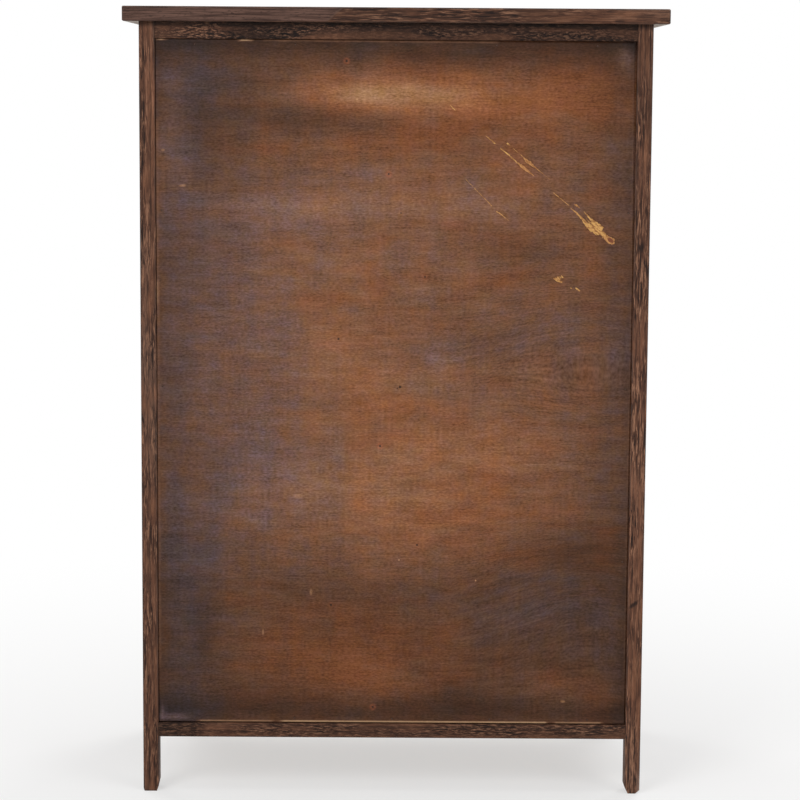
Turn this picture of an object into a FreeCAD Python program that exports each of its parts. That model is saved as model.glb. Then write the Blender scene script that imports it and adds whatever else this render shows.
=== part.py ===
import FreeCAD, Part

import math
import os
import re

import Sketcher
from FreeCAD import Placement, Rotation, Vector

# A small chest of four full-width drawers: a top board on a frame of slim posts and rails,
# thin panels at the sides and back, and drawers that slide on wooden runners.
# +X is the chest's right as its front is looked at, -Y its front, +Z up.
# The origin is on the floor, under the middle of the top board.

# Driving sizes in millimetres
SIZES = {
    # Top board
    "top_width": 550,
    "top_depth": 300,
    "top_thickness": 15,
    "top_arris": 1.5,
    "chest_height": 810,
    "side_overhang": 16,
    "front_overhang": 22,
    "back_overhang": 8,
    # Posts, which end in bevelled feet
    "post_width": 16,
    "post_depth": 22,
    "post_arris": 1.2,
    "foot_inner_bevel_width": 2,
    "foot_inner_bevel_height": 9,
    "foot_outer_bevel_width": 1.2,
    "foot_outer_bevel_height": 3,
    # The back left foot, worn rounder than the others
    "worn_foot_inner_bevel_width": 3.7,
    "worn_foot_inner_bevel_height": 7.5,
    "worn_foot_outer_bevel_width": 4.5,
    "worn_foot_outer_bevel_height": 4,
    # Rails
    "leg_height": 58,
    "lower_rail_height": 15,
    "upper_rail_height": 17,
    "divider_height": 15,
    "rail_setback": 0.5,
    "rail_arris": 0.8,
    "back_rail_depth": 18,
    "ledge_height": 10,
    "side_rail_width": 14,
    "side_rail_setback": 1,
    # Joinery
    "tenon_length": 10,
    "tenon_thickness": 7,
    "tenon_cheek": 4,
    "tenon_shoulder": 2,
    "side_tenon_length": 7,
    "top_tenon_length": 8,
    "top_tenon_cheek": 3,
    "fit_gap": 0.15,
    "end_gap": 0.5,
    # Side panels and back panel
    "side_panel_thickness": 4,
    "groove_depth": 5,
    "back_panel_thickness": 4,
    "back_panel_recess": 2,
    "back_panel_arris": 0.8,
    "back_gap_left_top": 3,
    "back_gap_left_bottom": 1.4,
    "back_gap_right": 1.5,
    "back_gap_top_left": 2.5,
    "back_gap_top_right": 1,
    "back_gap_bottom": 1.8,
    # Runners and their stop blocks
    "runner_width": 12,
    "tongue_width": 8,
    "tongue_length": 8,
    "tongue_shoulder": 4,
    "stop_length": 10,
    "stop_height": 12,
    "stop_back_gap": 1.2,
    "running_gap": 0.3,
    # Drawers
    "drawer_gap": 1.5,
    "drawer_front_thickness": 15,
    "drawer_front_lip": 6,
    "drawer_front_arris": 1,
    "drawer_side_thickness": 10,
    "drawer_side_arris": 1,
    "drawer_side_drop": 3,
    "drawer_back_thickness": 10,
    "drawer_back_inset": 5,
    "drawer_back_drop": 6,
    "dado_depth": 4,
    "drawer_bottom_thickness": 4,
    "drawer_bottom_rise": 8,
    "drawer_bottom_groove": 4,
    # Knobs and their screws
    "knob_spacing": 260,
    "knob_base_diameter": 16,
    "knob_base_height": 2,
    "knob_neck_curve": 7,
    "knob_head_diameter": 27,
    "knob_head_start": 11,
    "knob_rim_height": 3,
    "knob_rim_round": 1.2,
    "knob_projection": 20,
    "screw_diameter": 4,
    "screw_gap": 0.1,
    "screw_grip": 11,
    "screw_head_diameter": 8,
    "screw_head_height": 2.6,
    "screw_head_round": 1,
    "screw_slot_width": 1.2,
    "screw_slot_depth": 1.2,
    # Brads
    "pin_diameter": 1.4,
    "pin_length": 16,
    "pin_gap": 0.1,
    "pin_end_inset": 40,
    "runner_pin_inset": 6,
    "runner_pin_drop": 4,
}
DRAWER_ROWS = 4
PINS_ACROSS = 5
# How near counts as the same place, in millimetres, and the least volume that a feature changes
SAME_PLACE = 1e-3
LEAST_CHANGE = 0.1

# Places and sizes that follow from the driving ones, as expressions of them
HALF_OUTER = "(top_width / 2 - side_overhang)"
HALF_INNER = "(top_width / 2 - side_overhang - post_width)"
OPENING_WIDTH = f"(2 * {HALF_INNER})"
FRONT_Y = "(front_overhang - top_depth / 2)"
BACK_Y = "(top_depth / 2 - back_overhang)"
POST_HEIGHT = "(chest_height - top_thickness)"
BACK_POST_Y = f"({BACK_Y} - post_depth)"
SIDE_START_Y = f"({FRONT_Y} + post_depth)"
SIDE_LENGTH = f"({BACK_POST_Y} - {SIDE_START_Y})"
OPENING_BOTTOM = "(leg_height + lower_rail_height)"
OPENING_TOP = f"({POST_HEIGHT} - upper_rail_height)"
OPENING_HEIGHT = f"({OPENING_TOP} - {OPENING_BOTTOM})"
ROW_HEIGHT = f"(({OPENING_HEIGHT} - {DRAWER_ROWS - 1} * divider_height) / {DRAWER_ROWS})"
FRONT_RAIL_DEPTH = "(post_depth - rail_setback)"
BACK_RAIL_Y = f"({BACK_Y} - rail_setback - back_rail_depth)"
LEDGE_DEPTH = "(back_rail_depth + rail_setback - back_panel_recess - back_panel_thickness)"
BACK_PANEL_Y = f"({BACK_Y} - back_panel_recess - back_panel_thickness)"
UPPER_SIDE_RAIL_WIDTH = "(post_width - side_rail_setback + runner_width)"
GROOVE_WIDTH = "(side_panel_thickness + 2 * fit_gap)"
GROOVE_CUT = "(groove_depth + end_gap)"
STOP_Y = f"({BACK_RAIL_Y} - stop_back_gap - stop_length)"
DRAWER_WIDTH = f"({OPENING_WIDTH} - 2 * drawer_gap)"
DRAWER_LENGTH = f"({STOP_Y} - running_gap - {FRONT_Y})"
DRAWER_BACK_START = f"({DRAWER_LENGTH} - drawer_back_inset - drawer_back_thickness)"
DRAWER_SIDE_HEIGHT = f"({ROW_HEIGHT} - running_gap - drawer_side_drop)"
BOTTOM_GROOVE_HEIGHT = "(drawer_bottom_thickness + 2 * fit_gap)"
BOTTOM_GRIP = "(drawer_bottom_groove - end_gap)"
PIN_HOLE = "(pin_diameter + 2 * pin_gap)"

# The six sides of a board: the origin plane that a sketch on it follows, the index of the size
# that carries it out to the far side, the sign of that offset along the plane's normal, and
# whether the side faces against that normal
SIDES = {
    "left": ("YZ_Plane", None, "", True),
    "right": ("YZ_Plane", 0, "", False),
    "front": ("XZ_Plane", None, "-", False),
    "back": ("XZ_Plane", 1, "-", True),
    "bottom": ("XY_Plane", None, "", True),
    "top": ("XY_Plane", 2, "", False),
}
# The direction that each profile plane is padded in, as an index into the board's size
PAD_SIZE = {"YZ_Plane": 0, "XZ_Plane": 1, "XY_Plane": 2}
ABOUT_X = Rotation(Vector(1, 0, 0), 90)
ABOUT_Z = Rotation(Vector(0, 0, 1), 90)
UPRIGHT = Rotation()

doc = FreeCAD.newDocument("chest_of_drawers")
sheet = doc.addObject("Spreadsheet::Sheet", "sizes")
for row_number, (alias, number) in enumerate(SIZES.items(), start=1):
    sheet.set(f"A{row_number}", alias)
    sheet.set(f"B{row_number}", str(number))
    sheet.setAlias(f"B{row_number}", alias)
doc.recompute()

# The finished sub-parts by name
nodes = {}


def bind(thing, prop, expression):
    """Bind a property to an expression of the sheet's aliases."""
    words = re.sub(r"[a-z_]+", lambda word: f"sizes.{word[0]}" if word[0] in SIZES else word[0], expression)
    thing.setExpression(prop, words)


def place_at(thing, place, rotation=UPRIGHT):
    """Turn an object and bind its position to three expressions."""
    thing.Placement = Placement(Vector(), rotation)
    for axis, expression in zip("xyz", place):
        bind(thing, f"Placement.Base.{axis}", expression)


def locate(sketch, element, point, across, up):
    """Bind one point of a sketch to its distances from the sketch's origin."""
    drawn = sketch.getPoint(element, point)
    for kind, axis, distance, start in (("DistanceX", -2, across, drawn.x), ("DistanceY", -1, up, drawn.y)):
        if distance == "0":
            sketch.addConstraint(Sketcher.Constraint("PointOnObject", element, point, axis))
        else:
            constraint = sketch.addConstraint(Sketcher.Constraint(kind, -1, 1, element, point, start))
            bind(sketch, f"Constraints[{constraint}]", distance)


def polygon(sketch, points):
    """Draw a closed outline whose corners are bound to pairs of expressions."""
    first = sketch.GeometryCount
    count = len(points)
    turns = [2 * math.pi * corner / count for corner in range(count)]
    # A small regular outline to start from, which the corners' distances then pull into shape
    corners = [Vector(2 + math.cos(turn), 2 + math.sin(turn), 0) for turn in turns]
    for corner in range(count):
        sketch.addGeometry(Part.LineSegment(corners[corner], corners[(corner + 1) % count]), False)
    for corner, (across, up) in enumerate(points):
        following = first + (corner + 1) % count
        sketch.addConstraint(Sketcher.Constraint("Coincident", first + corner, 2, following, 1))
        locate(sketch, first + corner, 1, across, up)


def rectangle(sketch, left, low, width, height):
    """Draw a rectangle from its lower left corner, its width and its height."""
    right = width if left == "0" else f"{left} + {width}"
    high = height if low == "0" else f"{low} + {height}"
    polygon(sketch, [(left, low), (right, low), (right, high), (left, high)])


def circle(sketch, across, up, diameter):
    """Draw a circle of bound centre and diameter."""
    number = sketch.addGeometry(Part.Circle(Vector(1, 1, 0), Vector(0, 0, 1), 1.0), False)
    locate(sketch, number, 3, across, up)
    constraint = sketch.addConstraint(Sketcher.Constraint("Diameter", number, 1.0))
    bind(sketch, f"Constraints[{constraint}]", diameter)


def new_sketch(body, name, role, offset=None):
    """Make a sketch on one of a body's own origin planes, moved along its normal."""
    sketch = body.newObject("Sketcher::SketchObject", f"{name}_sketch")
    plane = next(item for item in body.Origin.OriginFeatures if item.Role == role)
    sketch.AttachmentSupport = [(plane, "")]
    sketch.MapMode = "FlatFace"
    if offset is not None:
        bind(sketch, "AttachmentOffset.Base.z", offset)
    return sketch


def edges_of(feature, along=None, side=None):
    """Name a feature's straight edges that run along an axis or lie on one side of its box."""
    box = feature.Shape.BoundBox
    sides = {
        None: (0, None),
        "left": (0, box.XMin),
        "right": (0, box.XMax),
        "front": (1, box.YMin),
        "back": (1, box.YMax),
        "bottom": (2, box.ZMin),
        "top": (2, box.ZMax),
    }
    axis, level = sides[side]
    names = []
    for number, edge in enumerate(feature.Shape.Edges, start=1):
        start, end = (vertex.Point for vertex in edge.Vertexes)
        across = end - start
        runs_along = along is None or abs(abs(across["XYZ".index(along)]) - across.Length) < SAME_PLACE
        on_side = side is None or all(abs(point[axis] - level) < SAME_PLACE for point in (start, end))
        if runs_along and on_side:
            names.append(f"Edge{number}")
    return names


class Board:
    """A piece of wood in a body of its own, with one corner at the body's origin.

    Its size is three expressions, along X, Y and Z. A profile, when there is one, is the plane
    that the board's section is drawn in and the section's corners.
    """

    def __init__(self, label, size, place, rotation=UPRIGHT, profile=None):
        self.label = label
        self.size = size
        self.body = doc.addObject("PartDesign::Body", label)
        self.body.Label = label
        place_at(self.body, place, rotation)
        self.stock(profile)
        nodes[label] = self.body

    def stock(self, profile):
        """Pad the board's section to its length."""
        plane, corners = profile or ("XY_Plane", None)
        sketch = new_sketch(self.body, f"{self.label}_section", plane)
        if corners:
            polygon(sketch, corners)
        else:
            rectangle(sketch, "0", "0", self.size[0], self.size[1])
        pad = self.body.newObject("PartDesign::Pad", f"{self.label}_stock")
        pad.Profile = sketch
        pad.Reversed = plane == "XZ_Plane"
        bind(pad, "Length", self.size[PAD_SIZE[plane]])

    def feature(self, kind, name, side, shapes, depth, at=None):
        """Pad or pocket a sketch of rectangles or circles on one side of the board.

        A far side is as far out as the board's size, or as far as "at" says.
        """
        plane, far_size, sign, against_normal = SIDES[side]
        offset = None
        if far_size is not None:
            offset = sign + (at or self.size[far_size])
        sketch = new_sketch(self.body, f"{self.label}_{name}", plane, offset)
        for shape in shapes:
            if len(shape) == 3:
                circle(sketch, *shape)
            else:
                rectangle(sketch, *shape)
        feature = self.body.newObject(f"PartDesign::{kind}", f"{self.label}_{name}")
        feature.Profile = sketch
        feature.Reversed = against_normal
        bind(feature, "Length", depth)

    def cut(self, name, side, shapes, depth, at=None):
        """Cut recesses into one side of the board."""
        self.feature("Pocket", name, side, shapes, depth, at)

    def grow(self, name, side, shapes, length):
        """Raise tenons, tongues or blocks from one side of the board."""
        self.feature("Pad", name, side, shapes, length)

    def ease(self, radius, along=None, side=None):
        """Round some of the board's edges."""
        doc.recompute()
        base = self.body.Tip
        fillet = self.body.newObject("PartDesign::Fillet", f"{self.label}_arris")
        fillet.Base = (base, edges_of(base, along, side))
        bind(fillet, "Radius", radius)


def mirrored(label, source):
    """Make a sub-part's twin on the other side of the chest."""
    twin = doc.addObject("Part::Mirroring", label)
    twin.Label = label
    twin.Source = source
    twin.Base = Vector(0, 0, 0)
    twin.Normal = Vector(1, 0, 0)
    return twin


def both_ends(length, inset, width):
    """The two starts of a cut that is repeated at both ends of a length."""
    return [inset, f"{length} - {inset} - {width}"]


def row_floor(row):
    """Height of the runners' tops in a drawer row, counted from 1 at the top."""
    return f"({OPENING_BOTTOM} + {DRAWER_ROWS - row} * ({ROW_HEIGHT} + divider_height))"


def rail_tenon(rail_height):
    """Height of a rail's tenon between its shoulders."""
    return f"({rail_height} - 2 * tenon_shoulder)"


def side_tenon(rail_height):
    """Height of a side rail's tenon, which stays clear of the panel's groove."""
    return f"({rail_height} - 2 * tenon_shoulder - {GROOVE_CUT})"


def mortise(across, low, width, height):
    """The mouth of a mortise or housing, wider than its tenon by the fit on each side."""
    corner = (f"({across} - fit_gap)", f"({low} - fit_gap)")
    return corner + (f"({width} + 2 * fit_gap)", f"({height} + 2 * fit_gap)")


def make_top_board():
    """The top board, with a blind mortise for each post's top tenon."""
    origin = ("-top_width / 2", "-top_depth / 2", POST_HEIGHT)
    board = Board("top_board", ("top_width", "top_depth", "top_thickness"), origin)
    board.ease("top_arris")
    width = "(post_width - 2 * top_tenon_cheek)"
    depth = "(post_depth - 2 * top_tenon_cheek)"
    left = "(side_overhang + top_tenon_cheek)"
    columns = both_ends("top_width", left, width)
    rows = ["(front_overhang + top_tenon_cheek)", f"(top_depth - back_overhang - top_tenon_cheek - {depth})"]
    mouths = [mortise(column, row, width, depth) for column in columns for row in rows]
    board.cut("mortises", "bottom", mouths, "top_tenon_length + end_gap")


def start_post(label, origin_y, foot="foot"):
    """A left post: stock with a bevelled foot, eased arrises and a tenon for the top board."""
    outline = [
        (f"{foot}_outer_bevel_width", "0"),
        (f"post_width - {foot}_inner_bevel_width", "0"),
        ("post_width", f"{foot}_inner_bevel_height"),
        ("post_width", POST_HEIGHT),
        ("0", POST_HEIGHT),
        ("0", f"{foot}_outer_bevel_height"),
    ]
    size = ("post_width", "post_depth", POST_HEIGHT)
    origin = (f"-{HALF_OUTER}", origin_y, "0")
    post = Board(label, size, origin, profile=("XZ_Plane", outline))
    post.ease("post_arris", along="Z")
    cheek = "top_tenon_cheek"
    tenon = (cheek, cheek, f"post_width - 2 * {cheek}", f"post_depth - 2 * {cheek}")
    post.grow("top_tenon", "top", [tenon], "top_tenon_length")
    return post


def cut_side_frame_joints(post, side):
    """The groove and the two mortises that a post holds the side rails and side panel in."""
    groove_left = f"(post_width / 2 - {GROOVE_WIDTH} / 2)"
    groove = (
        groove_left,
        f"({OPENING_BOTTOM} - {GROOVE_CUT})",
        GROOVE_WIDTH,
        f"({OPENING_HEIGHT} + 2 * {GROOVE_CUT})",
    )
    post.cut("panel_groove", side, [groove], GROOVE_CUT)
    left = "(post_width / 2 - tenon_thickness / 2)"
    upper_low = f"({OPENING_TOP} + {GROOVE_CUT} + tenon_shoulder)"
    mouths = [
        mortise(left, "(leg_height + tenon_shoulder)", "tenon_thickness", side_tenon("lower_rail_height")),
        mortise(left, upper_low, "tenon_thickness", side_tenon("upper_rail_height")),
    ]
    post.cut("side_mortises", side, mouths, "side_tenon_length + end_gap")


def front_rail_heights():
    """Name, lowest height and thickness of each front rail, from the top down."""
    rails = [("front_rail_upper", OPENING_TOP, "upper_rail_height")]
    for row in range(1, DRAWER_ROWS):
        rails.append((f"front_rail_{row}", f"({row_floor(row)} - divider_height)", "divider_height"))
    rails.append(("front_rail_lower", "leg_height", "lower_rail_height"))
    return rails


def make_front_posts():
    """The two front posts, mortised for every front rail."""
    post = start_post("post_front_left", FRONT_Y)
    cut_side_frame_joints(post, "back")
    across = "(rail_setback + tenon_cheek)"
    mouths = []
    for _, low, height in front_rail_heights():
        mouths.append(mortise(across, f"({low} + tenon_shoulder)", "tenon_thickness", rail_tenon(height)))
    post.cut("rail_mortises", "right", mouths, "tenon_length + end_gap")
    nodes["post_front_right"] = mirrored("post_front_right", post.body)


def make_back_post(label, foot):
    """A left back post, mortised for the back rails and drilled for the runners' brads."""
    post = start_post(label, BACK_POST_Y, foot)
    cut_side_frame_joints(post, "front")
    across = "(post_depth - rail_setback - tenon_cheek - tenon_thickness)"
    mouths = [
        mortise(across, f"({low} + tenon_shoulder)", "tenon_thickness", rail_tenon(height))
        for low, height in ((OPENING_TOP, "upper_rail_height"), ("leg_height", "lower_rail_height"))
    ]
    post.cut("rail_mortises", "right", mouths, "tenon_length + end_gap")
    holes = [("runner_pin_inset", runner_pin_height(row), PIN_HOLE) for row in range(1, DRAWER_ROWS)]
    post.cut("pin_holes", "right", holes, "pin_length - runner_width + end_gap")
    return post.body


def make_back_posts():
    """The two back posts, of which only the left foot is worn round."""
    make_back_post("post_back_left", "worn_foot")
    pattern = make_back_post("post_back_pattern", "foot")
    del nodes[pattern.Label]
    nodes["post_back_right"] = mirrored("post_back_right", pattern)


def make_front_rails():
    """The front rails, with housings at the back for the runners' tongues."""
    columns = both_ends(OPENING_WIDTH, "((runner_width - tongue_width) / 2)", "tongue_width")
    for label, low, height in front_rail_heights():
        size = (OPENING_WIDTH, FRONT_RAIL_DEPTH, height)
        rail = Board(label, size, (f"-{HALF_INNER}", f"({FRONT_Y} + rail_setback)", low))
        rail.ease("rail_arris", along="X", side="front")
        tenon = ("tenon_cheek", "tenon_shoulder", "tenon_thickness", rail_tenon(height))
        rail.grow("left_tenon", "left", [tenon], "tenon_length")
        rail.grow("right_tenon", "right", [tenon], "tenon_length")
        if label != "front_rail_upper":
            housings = [
                mortise(column, "tongue_shoulder", "tongue_width", f"({height} - 2 * tongue_shoulder)")
                for column in columns
            ]
            rail.cut("tongue_housings", "back", housings, "tongue_length + end_gap")


def pin_columns():
    """Distances of the brads along the back panel's top and bottom edges."""
    spread = f"({OPENING_WIDTH} - 2 * pin_end_inset)"
    return [f"(pin_end_inset + {spread} * {pin} / {PINS_ACROSS - 1})" for pin in range(PINS_ACROSS)]


def make_back_rails():
    """The back rails, each with a ledge that the back panel is pinned to."""
    sections = {
        "back_rail_upper": (
            f"({OPENING_TOP} - ledge_height)",
            "(upper_rail_height + ledge_height)",
            "ledge_height",
            "upper_rail_height",
        ),
        "back_rail_lower": ("leg_height", "(lower_rail_height + ledge_height)", "0", "lower_rail_height"),
    }
    for label, (low, height, face_low, face_height) in sections.items():
        if face_low == "0":
            section = [
                ("0", "0"),
                ("back_rail_depth", "0"),
                ("back_rail_depth", face_height),
                (LEDGE_DEPTH, face_height),
                (LEDGE_DEPTH, height),
                ("0", height),
            ]
            pin_height = f"({face_height} + ledge_height / 2)"
        else:
            section = [
                ("0", "0"),
                (LEDGE_DEPTH, "0"),
                (LEDGE_DEPTH, face_low),
                ("back_rail_depth", face_low),
                ("back_rail_depth", height),
                ("0", height),
            ]
            pin_height = "(ledge_height / 2)"
        size = (OPENING_WIDTH, "back_rail_depth", height)
        rail = Board(label, size, (f"-{HALF_INNER}", BACK_RAIL_Y, low), profile=("YZ_Plane", section))
        rail.ease("rail_arris", along="X", side="back")
        across = "(back_rail_depth - tenon_cheek - tenon_thickness)"
        tenon = (across, f"({face_low} + tenon_shoulder)", "tenon_thickness", rail_tenon(face_height))
        rail.grow("left_tenon", "left", [tenon], "tenon_length")
        rail.grow("right_tenon", "right", [tenon], "tenon_length")
        holes = [(column, pin_height, PIN_HOLE) for column in pin_columns()]
        rail.cut("pin_holes", "back", holes, "pin_length - back_panel_thickness + end_gap", at=LEDGE_DEPTH)
        if label == "back_rail_lower":
            columns = both_ends(OPENING_WIDTH, "((runner_width - tongue_width) / 2)", "tongue_width")
            housings = [
                mortise(column, "tongue_shoulder", "tongue_width", f"({face_height} - 2 * tongue_shoulder)")
                for column in columns
            ]
            rail.cut("tongue_housings", "front", housings, "tongue_length + end_gap")


def make_side_rails():
    """The side rails. The upper pair reaches in over the drawers, and keeps the top one level."""
    rails = (
        ("lower", "leg_height", "lower_rail_height", "side_rail_width", "top", "tenon_shoulder"),
        (
            "upper",
            OPENING_TOP,
            "upper_rail_height",
            UPPER_SIDE_RAIL_WIDTH,
            "bottom",
            f"({GROOVE_CUT} + tenon_shoulder)",
        ),
    )
    for level, low, height, width, groove_side, tenon_low in rails:
        inner_x = f"(side_rail_setback + {width} - {HALF_OUTER})"
        size = (SIDE_LENGTH, width, height)
        label = f"side_rail_{level}_left"
        rail = Board(label, size, (inner_x, SIDE_START_Y, low), rotation=ABOUT_Z)
        rail.ease("rail_arris", along="X", side="back")
        # The panel's plane is the middle of the posts, counted from the rail's inner face
        middle = f"({width} + side_rail_setback - post_width / 2)"
        tenon = (f"({middle} - tenon_thickness / 2)", tenon_low, "tenon_thickness", side_tenon(height))
        rail.grow("front_tenon", "left", [tenon], "side_tenon_length")
        rail.grow("back_tenon", "right", [tenon], "side_tenon_length")
        groove = ("0", f"({middle} - {GROOVE_WIDTH} / 2)", SIDE_LENGTH, GROOVE_WIDTH)
        rail.cut("panel_groove", groove_side, [groove], GROOVE_CUT)
        twin = f"side_rail_{level}_right"
        nodes[twin] = mirrored(twin, rail.body)


def make_side_panels():
    """The side panels, held in grooves all round."""
    length = f"({SIDE_LENGTH} + 2 * groove_depth)"
    size = ("side_panel_thickness", length, f"({OPENING_HEIGHT} + 2 * groove_depth)")
    left = f"(post_width / 2 - side_panel_thickness / 2 - {HALF_OUTER})"
    origin = (left, f"({SIDE_START_Y} - groove_depth)", f"({OPENING_BOTTOM} - groove_depth)")
    panel = Board("side_panel_left", size, origin)
    nodes["side_panel_right"] = mirrored("side_panel_right", panel.body)


def make_back_panel():
    """The back panel, cut a little out of square, with an open gap all round."""
    outline = [
        ("back_gap_left_bottom", "back_gap_bottom"),
        (f"{OPENING_WIDTH} - back_gap_right", "back_gap_bottom"),
        (f"{OPENING_WIDTH} - back_gap_right", f"{OPENING_HEIGHT} - back_gap_top_right"),
        ("back_gap_left_top", f"{OPENING_HEIGHT} - back_gap_top_left"),
    ]
    size = (OPENING_WIDTH, "back_panel_thickness", OPENING_HEIGHT)
    origin = (f"-{HALF_INNER}", BACK_PANEL_Y, OPENING_BOTTOM)
    panel = Board("back_panel", size, origin, profile=("XZ_Plane", outline))
    panel.ease("back_panel_arris", side="back")
    heights = ["(ledge_height / 2)", f"({OPENING_HEIGHT} - ledge_height / 2)"]
    holes = [(column, height, PIN_HOLE) for column in pin_columns() for height in heights]
    for row in range(1, DRAWER_ROWS):
        height = f"({row_floor(row)} - divider_height / 2 - {OPENING_BOTTOM})"
        holes.append(("(runner_width / 2)", height, PIN_HOLE))
        holes.append((f"({OPENING_WIDTH} - runner_width / 2)", height, PIN_HOLE))
    panel.cut("pin_holes", "back", holes, "back_panel_thickness")


def runner_pin_height(row):
    """Height of the brad that holds a runner to its back post."""
    return f"({row_floor(row)} - divider_height / 2 - runner_pin_drop)"


def make_runners():
    """The drawer runners, tongued into the front rails, each with a stop block at the back."""
    for row in range(1, DRAWER_ROWS + 1):
        lowest = row == DRAWER_ROWS
        height = "lower_rail_height" if lowest else "divider_height"
        end_y = BACK_RAIL_Y if lowest else BACK_PANEL_Y
        length = f"({end_y} - {SIDE_START_Y})"
        label = f"runner_left_{row}"
        origin = (f"-{HALF_INNER}", SIDE_START_Y, f"({row_floor(row)} - {height})")
        runner = Board(label, ("runner_width", length, height), origin)
        tongue_left = "((runner_width - tongue_width) / 2)"
        tongue = (tongue_left, "tongue_shoulder", "tongue_width", f"({height} - 2 * tongue_shoulder)")
        runner.grow("tongue", "front", [tongue], "tongue_length")
        stop = ("0", f"({STOP_Y} - {SIDE_START_Y})", "runner_width", "stop_length")
        runner.grow("stop", "top", [stop], "stop_height")
        if lowest:
            runner.grow("back_tongue", "back", [tongue], "tongue_length")
        else:
            panel_hole = ("(runner_width / 2)", f"({height} / 2)", PIN_HOLE)
            runner.cut("panel_pin_hole", "back", [panel_hole], "pin_length - back_panel_thickness + end_gap")
            pin_y = f"({BACK_POST_Y} + runner_pin_inset - {SIDE_START_Y})"
            post_hole = (pin_y, f"({height} / 2 - runner_pin_drop)", PIN_HOLE)
            runner.cut("post_pin_hole", "right", [post_hole], "runner_width")
        twin = f"runner_right_{row}"
        nodes[twin] = mirrored(twin, runner.body)


def make_drawer_front(row):
    """A drawer front, rabbeted at its ends for the sides and grooved for the bottom."""
    low = f"({row_floor(row)} + drawer_gap)"
    height = f"({ROW_HEIGHT} - 2 * drawer_gap)"
    size = (DRAWER_WIDTH, "drawer_front_thickness", height)
    front = Board(f"drawer_{row}_front", size, (f"-{DRAWER_WIDTH} / 2", FRONT_Y, low))
    front.ease("drawer_front_arris", side="front")
    rabbets = [
        ("0", "0", "drawer_side_thickness", height),
        (f"{DRAWER_WIDTH} - drawer_side_thickness", "0", "drawer_side_thickness", height),
    ]
    front.cut("rabbets", "back", rabbets, "drawer_front_thickness - drawer_front_lip")
    groove = (
        "drawer_side_thickness",
        "(drawer_bottom_rise + running_gap - drawer_gap)",
        f"({DRAWER_WIDTH} - 2 * drawer_side_thickness)",
        BOTTOM_GROOVE_HEIGHT,
    )
    front.cut("bottom_groove", "back", [groove], "drawer_bottom_groove")
    middle = f"{DRAWER_WIDTH} / 2"
    holes = [
        (f"({middle} {sign} knob_spacing / 2)", f"({height} / 2)", "(screw_diameter + 2 * screw_gap)")
        for sign in "-+"
    ]
    front.cut("screw_holes", "front", holes, "drawer_front_thickness")


def make_drawer_sides(row):
    """A pair of drawer sides, grooved for the bottom and housed for the back."""
    label = f"drawer_{row}_side_left"
    length = f"({DRAWER_LENGTH} - drawer_front_lip)"
    size = ("drawer_side_thickness", length, DRAWER_SIDE_HEIGHT)
    origin = (f"-{DRAWER_WIDTH} / 2", f"({FRONT_Y} + drawer_front_lip)", f"({row_floor(row)} + running_gap)")
    side = Board(label, size, origin)
    side.ease("drawer_side_arris", along="Y", side="top")
    groove = ("0", "drawer_bottom_rise", length, BOTTOM_GROOVE_HEIGHT)
    side.cut("bottom_groove", "right", [groove], "drawer_bottom_groove")
    dado = (
        f"({DRAWER_BACK_START} - drawer_front_lip - fit_gap)",
        "0",
        "(drawer_back_thickness + 2 * fit_gap)",
        DRAWER_SIDE_HEIGHT,
    )
    side.cut("back_dado", "right", [dado], "dado_depth")
    twin = f"drawer_{row}_side_right"
    nodes[twin] = mirrored(twin, side.body)


def make_drawer_back(row):
    """A drawer back, housed in the sides and grooved for the bottom."""
    width = f"({DRAWER_WIDTH} - 2 * drawer_side_thickness + 2 * (dado_depth - fit_gap))"
    size = (width, "drawer_back_thickness", f"({DRAWER_SIDE_HEIGHT} - drawer_back_drop)")
    origin = (f"-{width} / 2", f"({FRONT_Y} + {DRAWER_BACK_START})", f"({row_floor(row)} + running_gap)")
    back = Board(f"drawer_{row}_back", size, origin)
    back.ease("drawer_side_arris", along="X", side="top")
    groove = ("0", "drawer_bottom_rise", width, BOTTOM_GROOVE_HEIGHT)
    back.cut("bottom_groove", "front", [groove], "drawer_bottom_groove")


def make_drawer_bottom(row):
    """A drawer's thin bottom, which lies in grooves on all four sides."""
    width = f"({DRAWER_WIDTH} - 2 * drawer_side_thickness + 2 * {BOTTOM_GRIP})"
    length = f"({DRAWER_BACK_START} - drawer_front_thickness + 2 * {BOTTOM_GRIP})"
    origin = (
        f"-{width} / 2",
        f"({FRONT_Y} + drawer_front_thickness - {BOTTOM_GRIP})",
        f"({row_floor(row)} + running_gap + drawer_bottom_rise + fit_gap)",
    )
    Board(f"drawer_{row}_bottom", (width, length, "drawer_bottom_thickness"), origin)


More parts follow.
